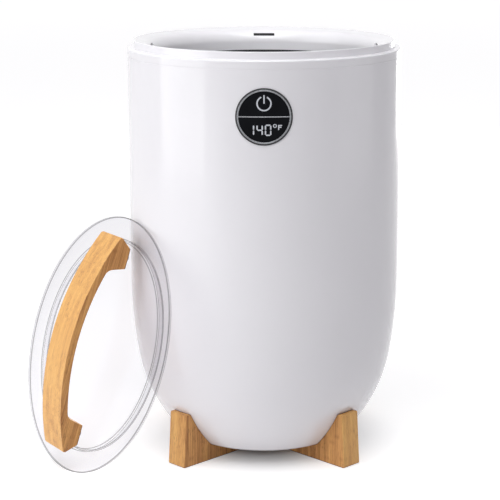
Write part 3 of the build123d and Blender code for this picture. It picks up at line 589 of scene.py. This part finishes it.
def bamboo():
    """Laminated bamboo: strips of their own tone, long fibres, short dark vessels and knuckle bands,
    with painted shade on the flat sides and where the wood nears other parts.
    """
    tree, shader, _ = start_material("bamboo")
    grain = node(tree, "ShaderNodeAttribute", {}, attribute_name="grain").outputs["Vector"]
    side_shade = node(tree, "ShaderNodeAttribute", {}, attribute_name="side_shade").outputs["Fac"]
    # Ambient occlusion, used to paint shade where the wood nears the bowl, the floor and its own corners
    corner = node(tree, "ShaderNodeAmbientOcclusion", {"Distance": 2.5 * mm}, samples=8).outputs["AO"]
    parts = node(tree, "ShaderNodeSeparateXYZ", {"Vector": grain}).outputs

    def streaks(squeeze, detail, roughness=0.5):
        return noise(tree, vector_maths(tree, "MULTIPLY", grain, squeeze), 1, detail, roughness)

    strip = maths(tree, "FLOOR", maths(tree, "DIVIDE", parts["Y"], strip_width))
    layer = maths(tree, "FLOOR", maths(tree, "DIVIDE", parts["Z"], layer_thickness))
    chance = node(tree, "ShaderNodeTexWhiteNoise", {"Vector": joined(tree, strip, layer)}).outputs["Value"]
    clouds = streaks((9, 150, 150), 3, 0.55)
    fibres = streaks((26, 1500, 1500), 4, 0.6)
    vessels = map_range(tree, streaks((150, 1900, 1900), 1), 0.62, 0.74)
    patches = map_range(tree, streaks((28, 55, 55), 1), 0.58, 0.64)
    shifted = maths(tree, "MULTIPLY_ADD", chance, knuckle_spacing, parts["X"])
    wrapped = maths(tree, "WRAP", shifted, knuckle_spacing / 2, -knuckle_spacing / 2)
    knuckle = map_range(tree, maths(tree, "ABSOLUTE", wrapped), knuckle_half_width, 0.0, 0.0, 0.5)
    tone = maths(tree, "MULTIPLY_ADD", clouds, 0.45, -0.075)
    for mark, strength in ((fibres, 0.70), (chance, 0.10), (vessels, -0.13), (knuckle, -0.14)):
        tone = maths(tree, "MULTIPLY_ADD", mark, strength, tone)
    tone = maths(tree, "ADD", tone, 0.03)
    # Painted shade on the flat sides and near other parts, and the real dark marks where vessels gather in patches
    for mark, strength in (
        (map_range(tree, side_shade, 0.95, 1.0), -0.15),
        (maths(tree, "MULTIPLY", vessels, patches), -0.35),
        (map_range(tree, corner, 0.75, 0.45), -0.45),
    ):
        tone = maths(tree, "MULTIPLY_ADD", mark, strength, tone)
    colour = ramp(tree, tone, (
        (0.00, (0.06, 0.022, 0.010)),
        (0.16, (0.23, 0.080, 0.022)),
        (0.34, (0.45, 0.195, 0.058)),
        (0.50, (0.67, 0.338, 0.108)),
        (0.64, (0.80, 0.450, 0.140)),
        (0.82, (0.90, 0.565, 0.215)),
    ))
    connect(tree, shader, {
        "Base Color": colour,
        "Roughness": spread(tree, fibres, 0.38, 0.54),
        "Normal": bump(tree, tone, 0.25, 0.5 * mm),
        "Specular IOR Level": 0.4,
    })


def black_glass():
    """Polished window: near black, with the faintest unevenness in its gloss."""
    tree, shader, place = start_material("black_glass")
    clouds = noise(tree, place, 40, 2)
    connect(tree, shader, {
        "Base Color": ramp(tree, clouds, ((0.3, (0.002, 0.0025, 0.004)), (0.7, (0.004, 0.005, 0.007)))),
        "Roughness": spread(tree, noise(tree, place, 90, 3), 0.07, 0.13),
        "Specular IOR Level": 0.07,
    })


def clear_plastic():
    """Lid: clear, a little greyer towards its rim, with painted dark lines along the corners of its
    section in place of refraction, and it lets lamplight through.
    """
    tree, shader, place = start_material("clear_plastic")
    away = vector_maths(tree, "SUBTRACT", place, lid_centre)
    up = vector_maths(tree, "DOT_PRODUCT", away, facing)
    out = vector_maths(tree, "LENGTH", vector_maths(tree, "SUBTRACT", away, scaled(tree, facing, up)))
    section = joined(tree, out, up)
    soft = lid_rounding * (1 - sqrt(0.5))
    under = -lid_thickness
    skirt_inner = skirt_outer - skirt_wall
    # Painted dark lines, standing in for refraction, follow the corners of the lid's section
    nearest = 1.0
    for corner in (
        (lid_radius - soft, -soft, 0),
        (lid_radius - soft, under + soft, 0),
        (skirt_outer, under, 0),
        (skirt_outer, under - skirt_depth, 0),
        (skirt_inner, under - skirt_depth, 0),
        (skirt_inner, under, 0),
    ):
        nearest = maths(tree, "MINIMUM", vector_maths(tree, "DISTANCE", section, corner), nearest)
    line = map_range(tree, nearest, 0.4 * mm, 1.1 * mm, 0.48, 1.0)
    uneven = maths(tree, "MULTIPLY_ADD", noise(tree, place, 8, 2), 2 * mm, out)
    plain = ramp(tree, maths(tree, "DIVIDE", uneven, lid_radius), (
        (0.0, (0.962, 0.958, 0.968)),
        (0.80, (0.955, 0.952, 0.962)),
        (0.84, (0.932, 0.929, 0.938)),
        (1.0, (0.916, 0.913, 0.925)),
    ))
    through = node(tree, "ShaderNodeBsdfTransparent", {"Color": scaled(tree, plain, line)}).outputs[0]
    rough = spread(tree, noise(tree, place, 70, 3), 0.02, 0.05)
    mirror = node(tree, "ShaderNodeBsdfGlossy", {"Color": plain, "Roughness": rough}).outputs[0]
    glancing = node(tree, "ShaderNodeLayerWeight", {}).outputs["Facing"]
    gloss = maths(tree, "MULTIPLY_ADD", maths(tree, "POWER", glancing, 5.0), 0.45, 0.02)
    shade = node(tree, "ShaderNodeBsdfTransparent", {"Color": (0.965, 0.965, 0.967, 1)}).outputs[0]
    shadow = node(tree, "ShaderNodeLightPath", {}).outputs["Is Shadow Ray"]
    surface = mix(tree, shadow, mix(tree, gloss, through, mirror), shade)
    connect(tree, tree.nodes["Material Output"], {"Surface": surface})
    tree.nodes.remove(shader)


def lit_sign():
    """Lit figures and the power sign: pale, slightly uneven light."""
    tree, shader, place = start_material("lit_sign")
    clouds = noise(tree, place, 900, 2)
    colour = ramp(tree, clouds, ((0.3, (0.42, 0.44, 0.48)), (0.7, (0.54, 0.565, 0.60))))
    connect(tree, shader, {
        "Base Color": colour,
        "Emission Color": colour,
        "Emission Strength": 0.22,
        "Roughness": 0.4,
    })


def make_materials():
    """The object's materials: dark and light colour, range of roughness, the pores' scale or the marks'
    stretch, and the relief. The slots of the record bear their names."""
    moulded("white_plastic", (0.900, 0.893, 0.920), (0.906, 0.899, 0.926), (0.15, 0.17), 35, 0.003)
    moulded("black_silicone", (0.012, 0.012, 0.013), (0.022, 0.022, 0.023), (0.55, 0.7), 700, 0.15)
    moulded("grey_plastic", (0.60, 0.60, 0.61), (0.66, 0.66, 0.67), (0.45, 0.6), 1100, 0.2)
    moulded("black_plastic", (0.016, 0.017, 0.019), (0.026, 0.027, 0.03), (0.30, 0.42), 1300, 0.1)
    moulded("dark_plastic", (0.03, 0.03, 0.035), (0.05, 0.05, 0.055), (0.5, 0.65), 1200, 0.15)
    moulded("relay_blue", (0.02, 0.10, 0.38), (0.04, 0.16, 0.52), (0.35, 0.45), 900, 0.1)
    moulded("terminal_green", (0.03, 0.28, 0.10), (0.06, 0.38, 0.16), (0.4, 0.5), 900, 0.1)
    moulded("ceramic_white", (0.72, 0.70, 0.64), (0.82, 0.80, 0.76), (0.3, 0.5), 500, 0.2)
    moulded("mica_board", (0.50, 0.42, 0.26), (0.70, 0.62, 0.44), (0.35, 0.6), 380, 0.4)
    metal("screw_steel", (0.50, 0.50, 0.51), (0.74, 0.74, 0.75), (0.25, 0.4), (700, 700, 90), 0.1)
    metal("plate_steel", (0.44, 0.45, 0.46), (0.70, 0.71, 0.72), (0.3, 0.5), (60, 700, 700), 0.12)
    metal("heater_foil", (0.60, 0.60, 0.61), (0.84, 0.84, 0.85), (0.2, 0.4), (160, 160, 160), 0.5)
    metal("fuse_metal", (0.52, 0.50, 0.45), (0.78, 0.76, 0.70), (0.2, 0.35), (300, 900, 900), 0.1)
    metal("silver_trim", (0.20, 0.206, 0.22), (0.31, 0.317, 0.333), (0.22, 0.34), (500, 500, 500), 0.05)
    spun_aluminium()
    felt()
    circuit_board()
    wound_coil()
    bamboo()
    black_glass()
    clear_plastic()
    lit_sign()


def finish_frame():
    """Gives every CAD node the material of its slot in the record."""
    for part in frame["record"]["subparts"]:
        for holder in frame["nodes"][part["node"]].material_slots:
            holder.material = materials[part["material_slot"]]


# ------------------------------------------------------------ bucket

def make_shell():
    """Wall, bowl, bottom ledge, panel hole and the gland's flat boss."""
    outer = bowl_curve(0)
    inner = bowl_curve(shell_wall)
    flat_radius = outer[-1].real
    cover_top = body_bottom + cover_thickness
    ledge_top = cover_top + ledge_thickness
    outline = [
        complex(wall_radius - parting_chamfer, seam_height),
        complex(wall_radius, seam_height - parting_chamfer),
        *outer,
        complex(cover_radius, body_bottom),
        complex(cover_radius, cover_top),
        complex(cover_radius - ledge_width, cover_top),
        complex(cover_radius - ledge_width, ledge_top),
        complex(flat_radius - shell_wall / 2, ledge_top),
        complex(flat_radius - shell_wall / 2, inner[-1].imag),
        *reversed(inner),
        complex(wall_radius - shell_wall, seam_height),
    ]
    shell = lathe("bucket_shell", outline)
    boss_back = gland_boss_face - gland_boss_depth
    inside, outside = 0.5 * wall_radius, 1.1 * wall_radius
    for start, end, height, radius, segments, operation in (
        (boss_back, gland_boss_face, gland_height, gland_boss_radius, 64, "UNION"),
        (inside, outside, gland_height, gland_hole_radius, 64, "DIFFERENCE"),
        (-inside, -outside, panel_height, panel_hole_radius, 96, "DIFFERENCE"),
    ):
        carve(shell, rod_cutter((0, start, height), (0, end, height), radius, segments), operation)
    settle(shell, "bucket", "white_plastic", "outer_shell")


def make_collar():
    """Flush band, set-in lip, funnel and the mouth's wall with its four slots."""
    spigot_outer = wall_radius - shell_wall - spigot_gap
    spigot_inner = spigot_outer - collar_wall
    band_top = seam_height + band_height
    slope = (crown - mouth_edge) / (lip_radius - mouth_radius)
    lip_inner = lip_radius - collar_wall
    throat_outer = mouth_radius + collar_wall
    throat_edge = mouth_edge + slope * collar_wall - collar_wall
    # Room under the mouth's wall for the gasket's dark lip, which is painted shade
    rebate = mouth_radius + shade_lip_width
    outline = rounded([
        (complex(rebate, throat_bottom), 0),
        (complex(rebate, throat_bottom + shade_lip_height), 0),
        (complex(mouth_radius, throat_bottom + shade_lip_height), 0),
        (complex(mouth_radius, mouth_edge), mouth_rounding),
        (complex(lip_radius, crown), lip_rounding),
        (complex(lip_radius, band_top), lip_root_rounding),
        (complex(wall_radius, band_top), band_rounding),
        (complex(wall_radius, seam_height + parting_chamfer), 0),
        (complex(wall_radius - parting_chamfer, seam_height), 0),
        (complex(spigot_outer, seam_height), 0),
        (complex(spigot_outer, collar_low.z), 0),
        (complex(spigot_inner, collar_low.z), 0),
        (complex(spigot_inner, band_top - collar_wall), 0),
        (complex(lip_inner, band_top - collar_wall), 0),
        (complex(lip_inner, crown - slope * collar_wall - collar_wall), 0),
        (complex(throat_outer, throat_edge), mouth_rounding - collar_wall),
        (complex(throat_outer, throat_bottom), 0),
    ], steps=14)
    collar = lathe("collar", outline)
    slot_top = mouth_edge - slot_below_mouth
    half = slot_width / 2
    for flip in (-1, 1):
        near, far = sorted((flip * (mouth_radius - slot_depth), flip * (mouth_radius + slot_depth)))
        carve(collar, block_cutter((-half, near, slot_top - slot_height), (half, far, slot_top)))
        carve(collar, block_cutter((near, -half, slot_top - slot_height), (far, half, slot_top)))
    settle(collar, "bucket", "white_plastic", "top_collar")


def make_gasket():
    """Black seal between the pot and the collar, with a lip put in as painted shade: it shows as a dark
    line in the mouth where the gap lies in shade.
    """
    lip_inner = mouth_radius + shade_lip_gap
    lip_outer = mouth_radius + shade_lip_width - shade_lip_gap
    lip_top = throat_bottom + shade_lip_height - shade_lip_gap
    outline = rounded([
        (complex(lip_inner, pot_flange_top), 0),
        (complex(lip_inner, lip_top), shade_lip_rounding),
        (complex(lip_outer, lip_top), shade_lip_rounding),
        (complex(lip_outer, throat_bottom), 0),
        (complex(gasket_radius, throat_bottom), 0),
        (complex(gasket_radius, pot_flange_top), 0),
    ], steps=4)
    settle(lathe("gasket", outline), "bucket", "black_silicone", "collar_gasket")


def make_pot():
    """Spun pot with its flange and the stud under its floor."""
    inner = pot_radius - pot_wall
    outline = rounded([
        (complex(0, pot_low.z), 0),
        (complex(stud_radius, pot_low.z), stud_rounding),
        (complex(stud_radius, pot_floor), 0),
        (complex(pot_radius, pot_floor), pot_corner),
        (complex(pot_radius, pot_flange_top - pot_wall), 0),
        (complex(pot_flange_radius, pot_flange_top - pot_wall), 0),
        (complex(pot_flange_radius, pot_flange_top), 0),
        (complex(inner, pot_flange_top), 0),
        (complex(inner, pot_floor + pot_wall), pot_corner - pot_wall),
        (complex(0, pot_floor + pot_wall), 0),
    ], steps=10)
    settle(lathe("pot", outline), "bucket", "pot_aluminium", "inner_pot")


# ------------------------------------------------------------ stand

def make_bar(name, degrees, node_name, halving_low, halving_high):
    """One bamboo bar: leaning ends, soft edges, the bowl's cradle, the halving and two screw sinks."""
    along = Vector((cos(radians(degrees)), sin(radians(degrees)), 0))
    across = Vector((-along.y, along.x, 0))
    up = Vector((0, 0, 1))
    outline = rounded([
        (complex(-bar_reach, 0), bar_corner_rounding),
        (complex(bar_reach, 0), bar_corner_rounding),
        (complex(bar_reach - bar_end_lean, bar_height), bar_corner_rounding),
        (complex(bar_end_lean - bar_reach, bar_height), bar_corner_rounding),
    ], steps=4)

    def place(point, side):
        return along * point.real + up * point.imag + across * (side * bar_width / 2)

    bar = prism(name, outline, place, bar_edge_rounding)
    curve = bowl_curve(-cradle_gap)
    carve(bar, lathe("cutter", [complex(0, curve[0].imag), *curve, complex(0, curve[-1].imag)]))
    half = bar_width / 2 + halving_gap
    notch = block_cutter((-half, -bar_width, halving_low), (half, bar_width, halving_high))
    notch.data.transform(Matrix.Rotation(radians(degrees), 4, "Z"))
    carve(bar, notch)
    for flip in (-1, 1):
        spot = along * (flip * screw_circle)
        carve(bar, rod_cutter(spot - up * screw_sink, spot + up * screw_sink, screw_sink_radius))
        carve(bar, rod_cutter(spot, spot + up * bar_height, screw_hole_radius, 32))
    add_grain_and_side_shade(bar, up, across, along)
    settle(bar, "bucket", "bamboo", node_name)


# ------------------------------------------------------------ control panel

def on_wall(point, proud):
    """Place of a point of the panel: right + 1j * up from its centre, and proud of the wall."""
    return Vector((point.real, -sqrt((wall_radius + proud) ** 2 - point.real**2), panel_height + point.imag))


def panel_ring(mesh, section, segments=192):
    """Adds a ring that follows the wall; section points are radius + 1j * proud."""
    turns = [rect(1, 2 * pi * step / segments) for step in range(segments)]
    loops = [[mesh.verts.new(on_wall(point.real * turn, point.imag)) for turn in turns] for point in section]
    bridge(mesh, loops, closed=True)


def panel_bar(mesh, half_length, section, steps=64):
    """Adds a level bar that follows the wall; section points are up + 1j * proud."""
    loops = []
    for step in range(steps + 1):
        right = half_length * (2 * step / steps - 1)
        loops.append([mesh.verts.new(on_wall(right + 1j * point.real, point.imag)) for point in section])
    bridge(mesh, loops, closed=False)
    mesh.faces.new(loops[0])
    mesh.faces.new(loops[-1])


def half_moon(mesh, radius, gap, side, front, back, columns=72, rows=10):
    """Adds a half-moon pane that follows the wall, above (side 1) or below (side -1) the divider."""
    def sheet(inset, proud):
        reach = radius - inset
        floor_line = gap + inset
        width = sqrt(reach**2 - floor_line**2)
        grid = []
        for column in range(columns + 1):
            right = -width * cos(pi * column / columns)
            top = sqrt(max(reach**2 - right**2, floor_line**2))
            rise = [floor_line + (top - floor_line) * row / rows for row in range(rows + 1)]
            grid.append([mesh.verts.new(on_wall(complex(right, side * level), proud)) for level in rise])
        return grid

    def rim(grid):
        return [column[0] for column in grid] + [column[-1] for column in reversed(grid)]

    face = sheet(glass_edge, front)
    rest = sheet(0, back)
    for grid in (face, rest):
        for left, right in zip(grid, grid[1:]):
            for row in range(rows):
                mesh.faces.new((left[row], right[row], right[row + 1], left[row + 1]))
    loops = [rim(face)]
    for step in (1, 2, 3):
        lean = pi / 2 * step / 3
        edge = sheet(glass_edge * (1 - sin(lean)), front - glass_edge * (1 - cos(lean)))
        loops.append(rim(edge))
        inner = [spot for column in edge[1:-1] for spot in column[1:-1]] + edge[0][1:-1] + edge[-1][1:-1]
        bmesh.ops.delete(mesh, geom=inner, context="VERTS")
    loops.append(rim(rest))
    bridge(mesh, loops, closed=False)


def make_bezel():
    """Silver ring and the bar across the panel, with soft edges that catch the light."""
    mesh = bmesh.new()
    panel_ring(mesh, rounded([
        (complex(window_radius, bezel_back), 0),
        (complex(window_radius, bezel_front), bezel_rounding),
        (complex(bezel_outer, bezel_front), bezel_rounding),
        (complex(bezel_outer, bezel_back), 0),
    ]))
    half = divider_width / 2
    panel_bar(mesh, window_radius + divider_overlap, rounded([
        (complex(-half, bezel_back), 0),
        (complex(-half, bezel_front), bezel_rounding),
        (complex(half, bezel_front), bezel_rounding),
        (complex(half, bezel_back), 0),
    ]))
    settle(solid("bezel", mesh), "bucket", "silver_trim", "display_bezel")


def make_window():
    """Lower half of the panel, which carries the figures."""
    mesh = bmesh.new()
    half_moon(mesh, window_radius - lens_gap, divider_width / 2 + lens_gap, -1,
              rim_front, rim_front - lens_thickness)
    settle(solid("window", mesh), "bucket", "black_glass", "display_lens")


def make_button():
    """Upper half of the panel, with the stem and guide posts behind it."""
    mesh = bmesh.new()
    back = rim_front - button_thickness
    half_moon(mesh, window_radius - button_gap, divider_width / 2 + button_gap, 1, rim_front, back)
    root = -(wall_radius + back) + stem_overlap
    stem_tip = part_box("switch_plunger")[0].y
    post_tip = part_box("power_button")[1].y
    for right, height, tip, radius in (
        (0, panel_height + stem_height, stem_tip, stem_radius),
        (-post_spread, panel_height + post_height, post_tip, post_radius),
        (post_spread, panel_height + post_height, post_tip, post_radius),
    ):
        rod(mesh, (right, root, height), (right, tip, height), radius)
    settle(solid("button_cap", mesh), "button", "black_glass", "power_button")


def plate(mesh, outline):
    """Adds a thin plate that lies on the glass."""
    front, back = rim_front + sign_rise, rim_front - sign_rise
    loops = [[mesh.verts.new(on_wall(point, proud)) for point in outline] for proud in (front, back)]
    mesh.faces.new(loops[0])
    mesh.faces.new(loops[1])
    bridge(mesh, loops, closed=False)


def ring_plate(mesh, centre, radius, stroke, start, end, segments):
    """Adds a thin arc-shaped band on the glass, between two angles in degrees."""
    whole = end - start >= 360
    spots = [rect(1, radians(start + (end - start) * step / segments)) for step in range(segments + 1)]
    loops = []
    for turn in spots[:-1] if whole else spots:
        corners = []
        for reach, side in ((radius, 1), (radius, -1), (radius - stroke, -1), (radius - stroke, 1)):
            corners.append(mesh.verts.new(on_wall(centre + reach * turn, rim_front + side * sign_rise)))
        loops.append(corners)
    bridge(mesh, loops, closed=whole)
    if not whole:
        mesh.faces.new(loops[0])
        mesh.faces.new(loops[-1])


def lit_segment(mesh, start, end, stroke):
    """Adds one pointed segment of a digit."""
    along = (end - start) / abs(end - start)
    start += along * segment_gap
    end -= along * segment_gap
    side = 1j * along * stroke / 2
    tip = along * stroke / 2
    plate(mesh, [start, start + tip - side, end - tip - side, end, end - tip + side, start + tip + side])


def lit_figure(mesh, left, right, bottom, top, stroke, bars):
    """Adds a seven-segment figure with the given bars: a at the top, clockwise to f, and g across."""
    inset = stroke / 2
    low, high = bottom + inset, top - inset
    west, east = left + inset, right - inset
    middle = (low + high) / 2
    ends = {
        "a": (complex(west, high), complex(east, high)),
        "b": (complex(east, high), complex(east, middle)),
        "c": (complex(east, middle), complex(east, low)),
        "d": (complex(east, low), complex(west, low)),
        "e": (complex(west, low), complex(west, middle)),
        "f": (complex(west, middle), complex(west, high)),
        "g": (complex(west, middle), complex(east, middle)),
    }
    for bar in bars:
        lit_segment(mesh, *ends[bar], stroke)


def light_up(name, mesh, body):
    """Makes a lit piece of what was drawn on the glass."""
    piece = solid(name, mesh)
    piece.data.materials.append(materials["lit_sign"])
    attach(piece, body)


def make_power_sign():
    """Open ring with a bar in its gap, on the button."""
    sign = bmesh.new()
    centre = complex(0, power_sign_height)
    start, end = 90 + power_sign_gap, 450 - power_sign_gap
    ring_plate(sign, centre, power_sign_radius, power_sign_stroke, start, end, 72)
    half = power_sign_stroke / 2
    plate(sign, [centre + complex(right, up) for right, up in
                 ((-half, 0), (half, 0), (half, power_bar_top), (-half, power_bar_top))])
    light_up("power_sign", sign, "button")


def make_digits():
    """Three figures with a degree sign and a unit, on the window."""
    digits = bmesh.new()
    for left, right, bars in digit_places:
        lit_figure(digits, left, right, digit_bottom, digit_top, digit_stroke, bars)
    unit_bars = (
        (unit_left, unit_bottom, unit_left + unit_stroke, unit_top),
        (unit_left + unit_stroke, unit_top - unit_stroke, unit_right, unit_top),
        (unit_left + unit_stroke, unit_middle - unit_stroke, unit_right - unit_step, unit_middle),
    )
    for left, low, right, high in unit_bars:
        plate(digits, [complex(left, low), complex(right, low), complex(right, high), complex(left, high)])
    ring_plate(digits, degree_centre, degree_radius, degree_stroke, 0, 360, 40)
    light_up("digits", digits, "bucket")


# ------------------------------------------------------------ lid, made in its own frame

def make_lid():
    """Clear plate with a softly rounded rim and the skirt that drops into the mouth."""
    under = -lid_thickness
    skirt_inner = skirt_outer - skirt_wall
    outline = rounded([
        (complex(0, 0), 0),
        (complex(lid_radius, 0), lid_rounding),
        (complex(lid_radius, under), lid_rounding),
        (complex(skirt_outer, under), skirt_root_rounding),
        (complex(skirt_outer, under - skirt_depth), skirt_rounding),
        (complex(skirt_inner, under - skirt_depth), skirt_rounding),
        (complex(skirt_inner, under), skirt_root_rounding),
        (complex(0, under), 0),
    ])
    lid = lathe("lid_plate", outline)
    for side in (-1, 1):
        for end in (-1, 1):
            right, up = side * lid_screw_spread, end * lid_screw_reach
            carve(lid, rod_cutter((right, up, 2 * under), (right, up, -under), lid_screw_hole, 32))
    lid.data.transform(lid_frame)
    settle(lid, "lid", "clear_plastic", "lid_disc")


def make_handle():
    """Arched bamboo handle with two feet."""
    rise = handle_peak - arch_end_height
    arch_radius = (arch_end**2 + rise**2) / (2 * rise)
    arch_centre = handle_peak - arch_radius
    under_radius = arch_radius - handle_thickness
    steps = 24

    def arch(radius, reach, sign):
        levels = [sign * reach * (2 * step / steps - 1) for step in range(steps + 1)]
        return [complex(level, arch_centre + sqrt(radius**2 - level**2)) for level in levels]

    top = arch(arch_radius, arch_end, 1)
    under = arch(under_radius, under_end, -1)
    corners = [(point, 0) for point in top]
    corners[0] = (top[0], arch_end_rounding)
    corners[-1] = (top[-1], arch_end_rounding)
    corners += [(complex(foot_outer, 0), 0), (complex(foot_inner, 0), 0)]
    corners.append((under[0], under_rounding))
    corners += [(point, 0) for point in under[1:-1]]
    corners.append((under[-1], under_rounding))
    corners += [(complex(-foot_inner, 0), 0), (complex(-foot_outer, 0), 0)]
    outline = rounded(corners, steps=10)

    def on_plate(edge):
        return all(abs(spot.co.z) < 1e-6 for spot in edge.verts)

    def place(point, side):
        return Vector((side * handle_width / 2, point.real, point.imag))

    handle = prism("handle", outline, place, handle_edge_rounding, on_plate)
    add_grain_and_side_shade(handle, Vector((0, 1, 0)), Vector((1, 0, 0)), Vector((0, 0, 1)))
    handle.data.transform(lid_frame)
    settle(handle, "lid", "bamboo", "lid_handle")


# ------------------------------------------------------------ studio

def make_floor():
    """Plain pale floor, out past the view on every side. Where it is seen it also glows: least around
    the object, so that its shadow stays and is deepened as a painted shadow, and most far out, where the lamps'
    light falls off."""
    mesh = bmesh.new()
    bmesh.ops.create_grid(mesh, x_segments=8, y_segments=8, size=floor_reach)
    floor_piece = solid("floor", mesh)
    tree, shader, place = start_material("studio_floor")
    clouds = noise(tree, place, 3, 2)
    connect(tree, shader, {
        "Base Color": ramp(tree, clouds, ((0.3, (0.875, 0.875, 0.875)), (0.7, (0.885, 0.885, 0.885)))),
        "Roughness": 1,
        "Specular IOR Level": 0,
    })
    out = maths(tree, "DIVIDE", vector_maths(tree, "LENGTH", place), floor_reach)
    # Glow by distance, low near the middle, where it paints the shadow
    lift = ramp(tree, out, [(away / floor_reach, (light, light, light)) for away, light in floor_glow])
    matt = node(tree, "ShaderNodeBsdfDiffuse", {"Color": (0.68, 0.68, 0.68, 1)}).outputs[0]
    glow = node(tree, "ShaderNodeEmission", {"Color": lift}).outputs[0]
    lifted = node(tree, "ShaderNodeAddShader", {0: matt, 1: glow}).outputs[0]
    surface = mix(tree, seen(tree), shader.outputs[0], lifted)
    connect(tree, tree.nodes["Material Output"], {"Surface": surface})
    floor_piece.data.materials.append(materials["studio_floor"])


def make_world():
    """White where it is seen, mirrored or seen through, and a dimmer fill light elsewhere."""
    world = bpy.data.worlds.new("studio")
    world.use_nodes = True
    bpy.context.scene.world = world
    tree = world.node_tree
    tree.nodes.clear()
    fill = node(tree, "ShaderNodeBackground", {"Color": (0.99, 0.94, 1.05, 1), "Strength": 0.16}).outputs[0]
    white = node(tree, "ShaderNodeBackground", {"Color": (1, 1, 1, 1), "Strength": 1.0}).outputs[0]
    node(tree, "ShaderNodeOutputWorld", {"Surface": mix(tree, seen(tree), fill, white)})


def softbox(name, azimuth, elevation, distance, width, height, light, target, beam=180):
    """Area lamp that faces the target. Azimuth 0 is the camera's side, and -90 is its left. With the full
    beam of 180 degrees, light is the share of full white that the lamp gives to a surface at the target
    that faces it. A narrower beam gathers the same power, and gives the target many times that share."""
    data = bpy.data.lights.new(name, "AREA")
    data.spread = radians(beam)
    data.shape = "RECTANGLE"
    data.size = width
    data.size_y = height
    data.energy = light * (pi * distance) ** 2
    lamp = bpy.data.objects.new(name, data)
    bpy.context.scene.collection.objects.link(lamp)
    turn, lift = radians(azimuth), radians(elevation)
    away = Vector((sin(turn) * cos(lift), -cos(turn) * cos(lift), sin(lift)))
    lamp.location = Vector(target) + away * distance
    lamp.rotation_euler = away.to_track_quat("Z", "Y").to_euler()


def make_lights():
    """Key from the left, two lamps above, and weaker ones for the foot, the back and the mouth."""
    middle = (0, 0, 0.22)
    # Name, azimuth, elevation, distance, width, height, light and target
    softbox("key", -69, 16, 1.5, 1.25, 1.25, 0.468, middle)
    softbox("high", 0, 66, 2.4, 1.4, 1.4, 0.44, middle)
    softbox("overhead", 0, 84, 2.2, 1.6, 1.6, 0.25, middle)
    softbox("low_left", -48, 8, 0.9, 0.7, 0.28, 0.013, (-0.08, -0.08, 0.04), beam=50)
    softbox("low_right", 80, 2, 1.8, 1.2, 0.4, 0.03, (0, 0, 0.06))
    softbox("back", 165, 0, 2.4, 1.6, 0.38, 0.24, (0, 0, 0.2))
    softbox("mouth", 0, 35, 2.2, 0.16, 0.06, 0.0004, (0, 0.13, 0.44), beam=9)


def make_camera():
    """The photograph's view, from the front and looking down by 13 degrees."""
    data = bpy.data.cameras.new("camera")
    data.sensor_width = 36
    data.lens = 115.6
    data.shift_x = -0.028
    data.clip_end = 100
    camera = bpy.data.objects.new("camera", data)
    camera.location = (0, -camera_distance, camera_height)
    camera.rotation_euler = (pi / 2 - camera_tilt, 0, 0)
    bpy.context.scene.collection.objects.link(camera)
    bpy.context.scene.camera = camera
    bpy.context.scene.view_settings.view_transform = "Standard"


# ------------------------------------------------------------ everything

make_materials()
finish_frame()
make_shell()
make_collar()
make_gasket()
make_pot()
make_bar("bar_lower", 45, "stand_bar_lower", halving_level, 2 * bar_height)
make_bar("bar_upper", -45, "stand_bar_upper", -bar_height, halving_level)
make_bezel()
make_window()
make_button()
make_power_sign()
make_digits()
make_lid()
make_handle()
make_floor()
make_world()
make_lights()
make_camera()
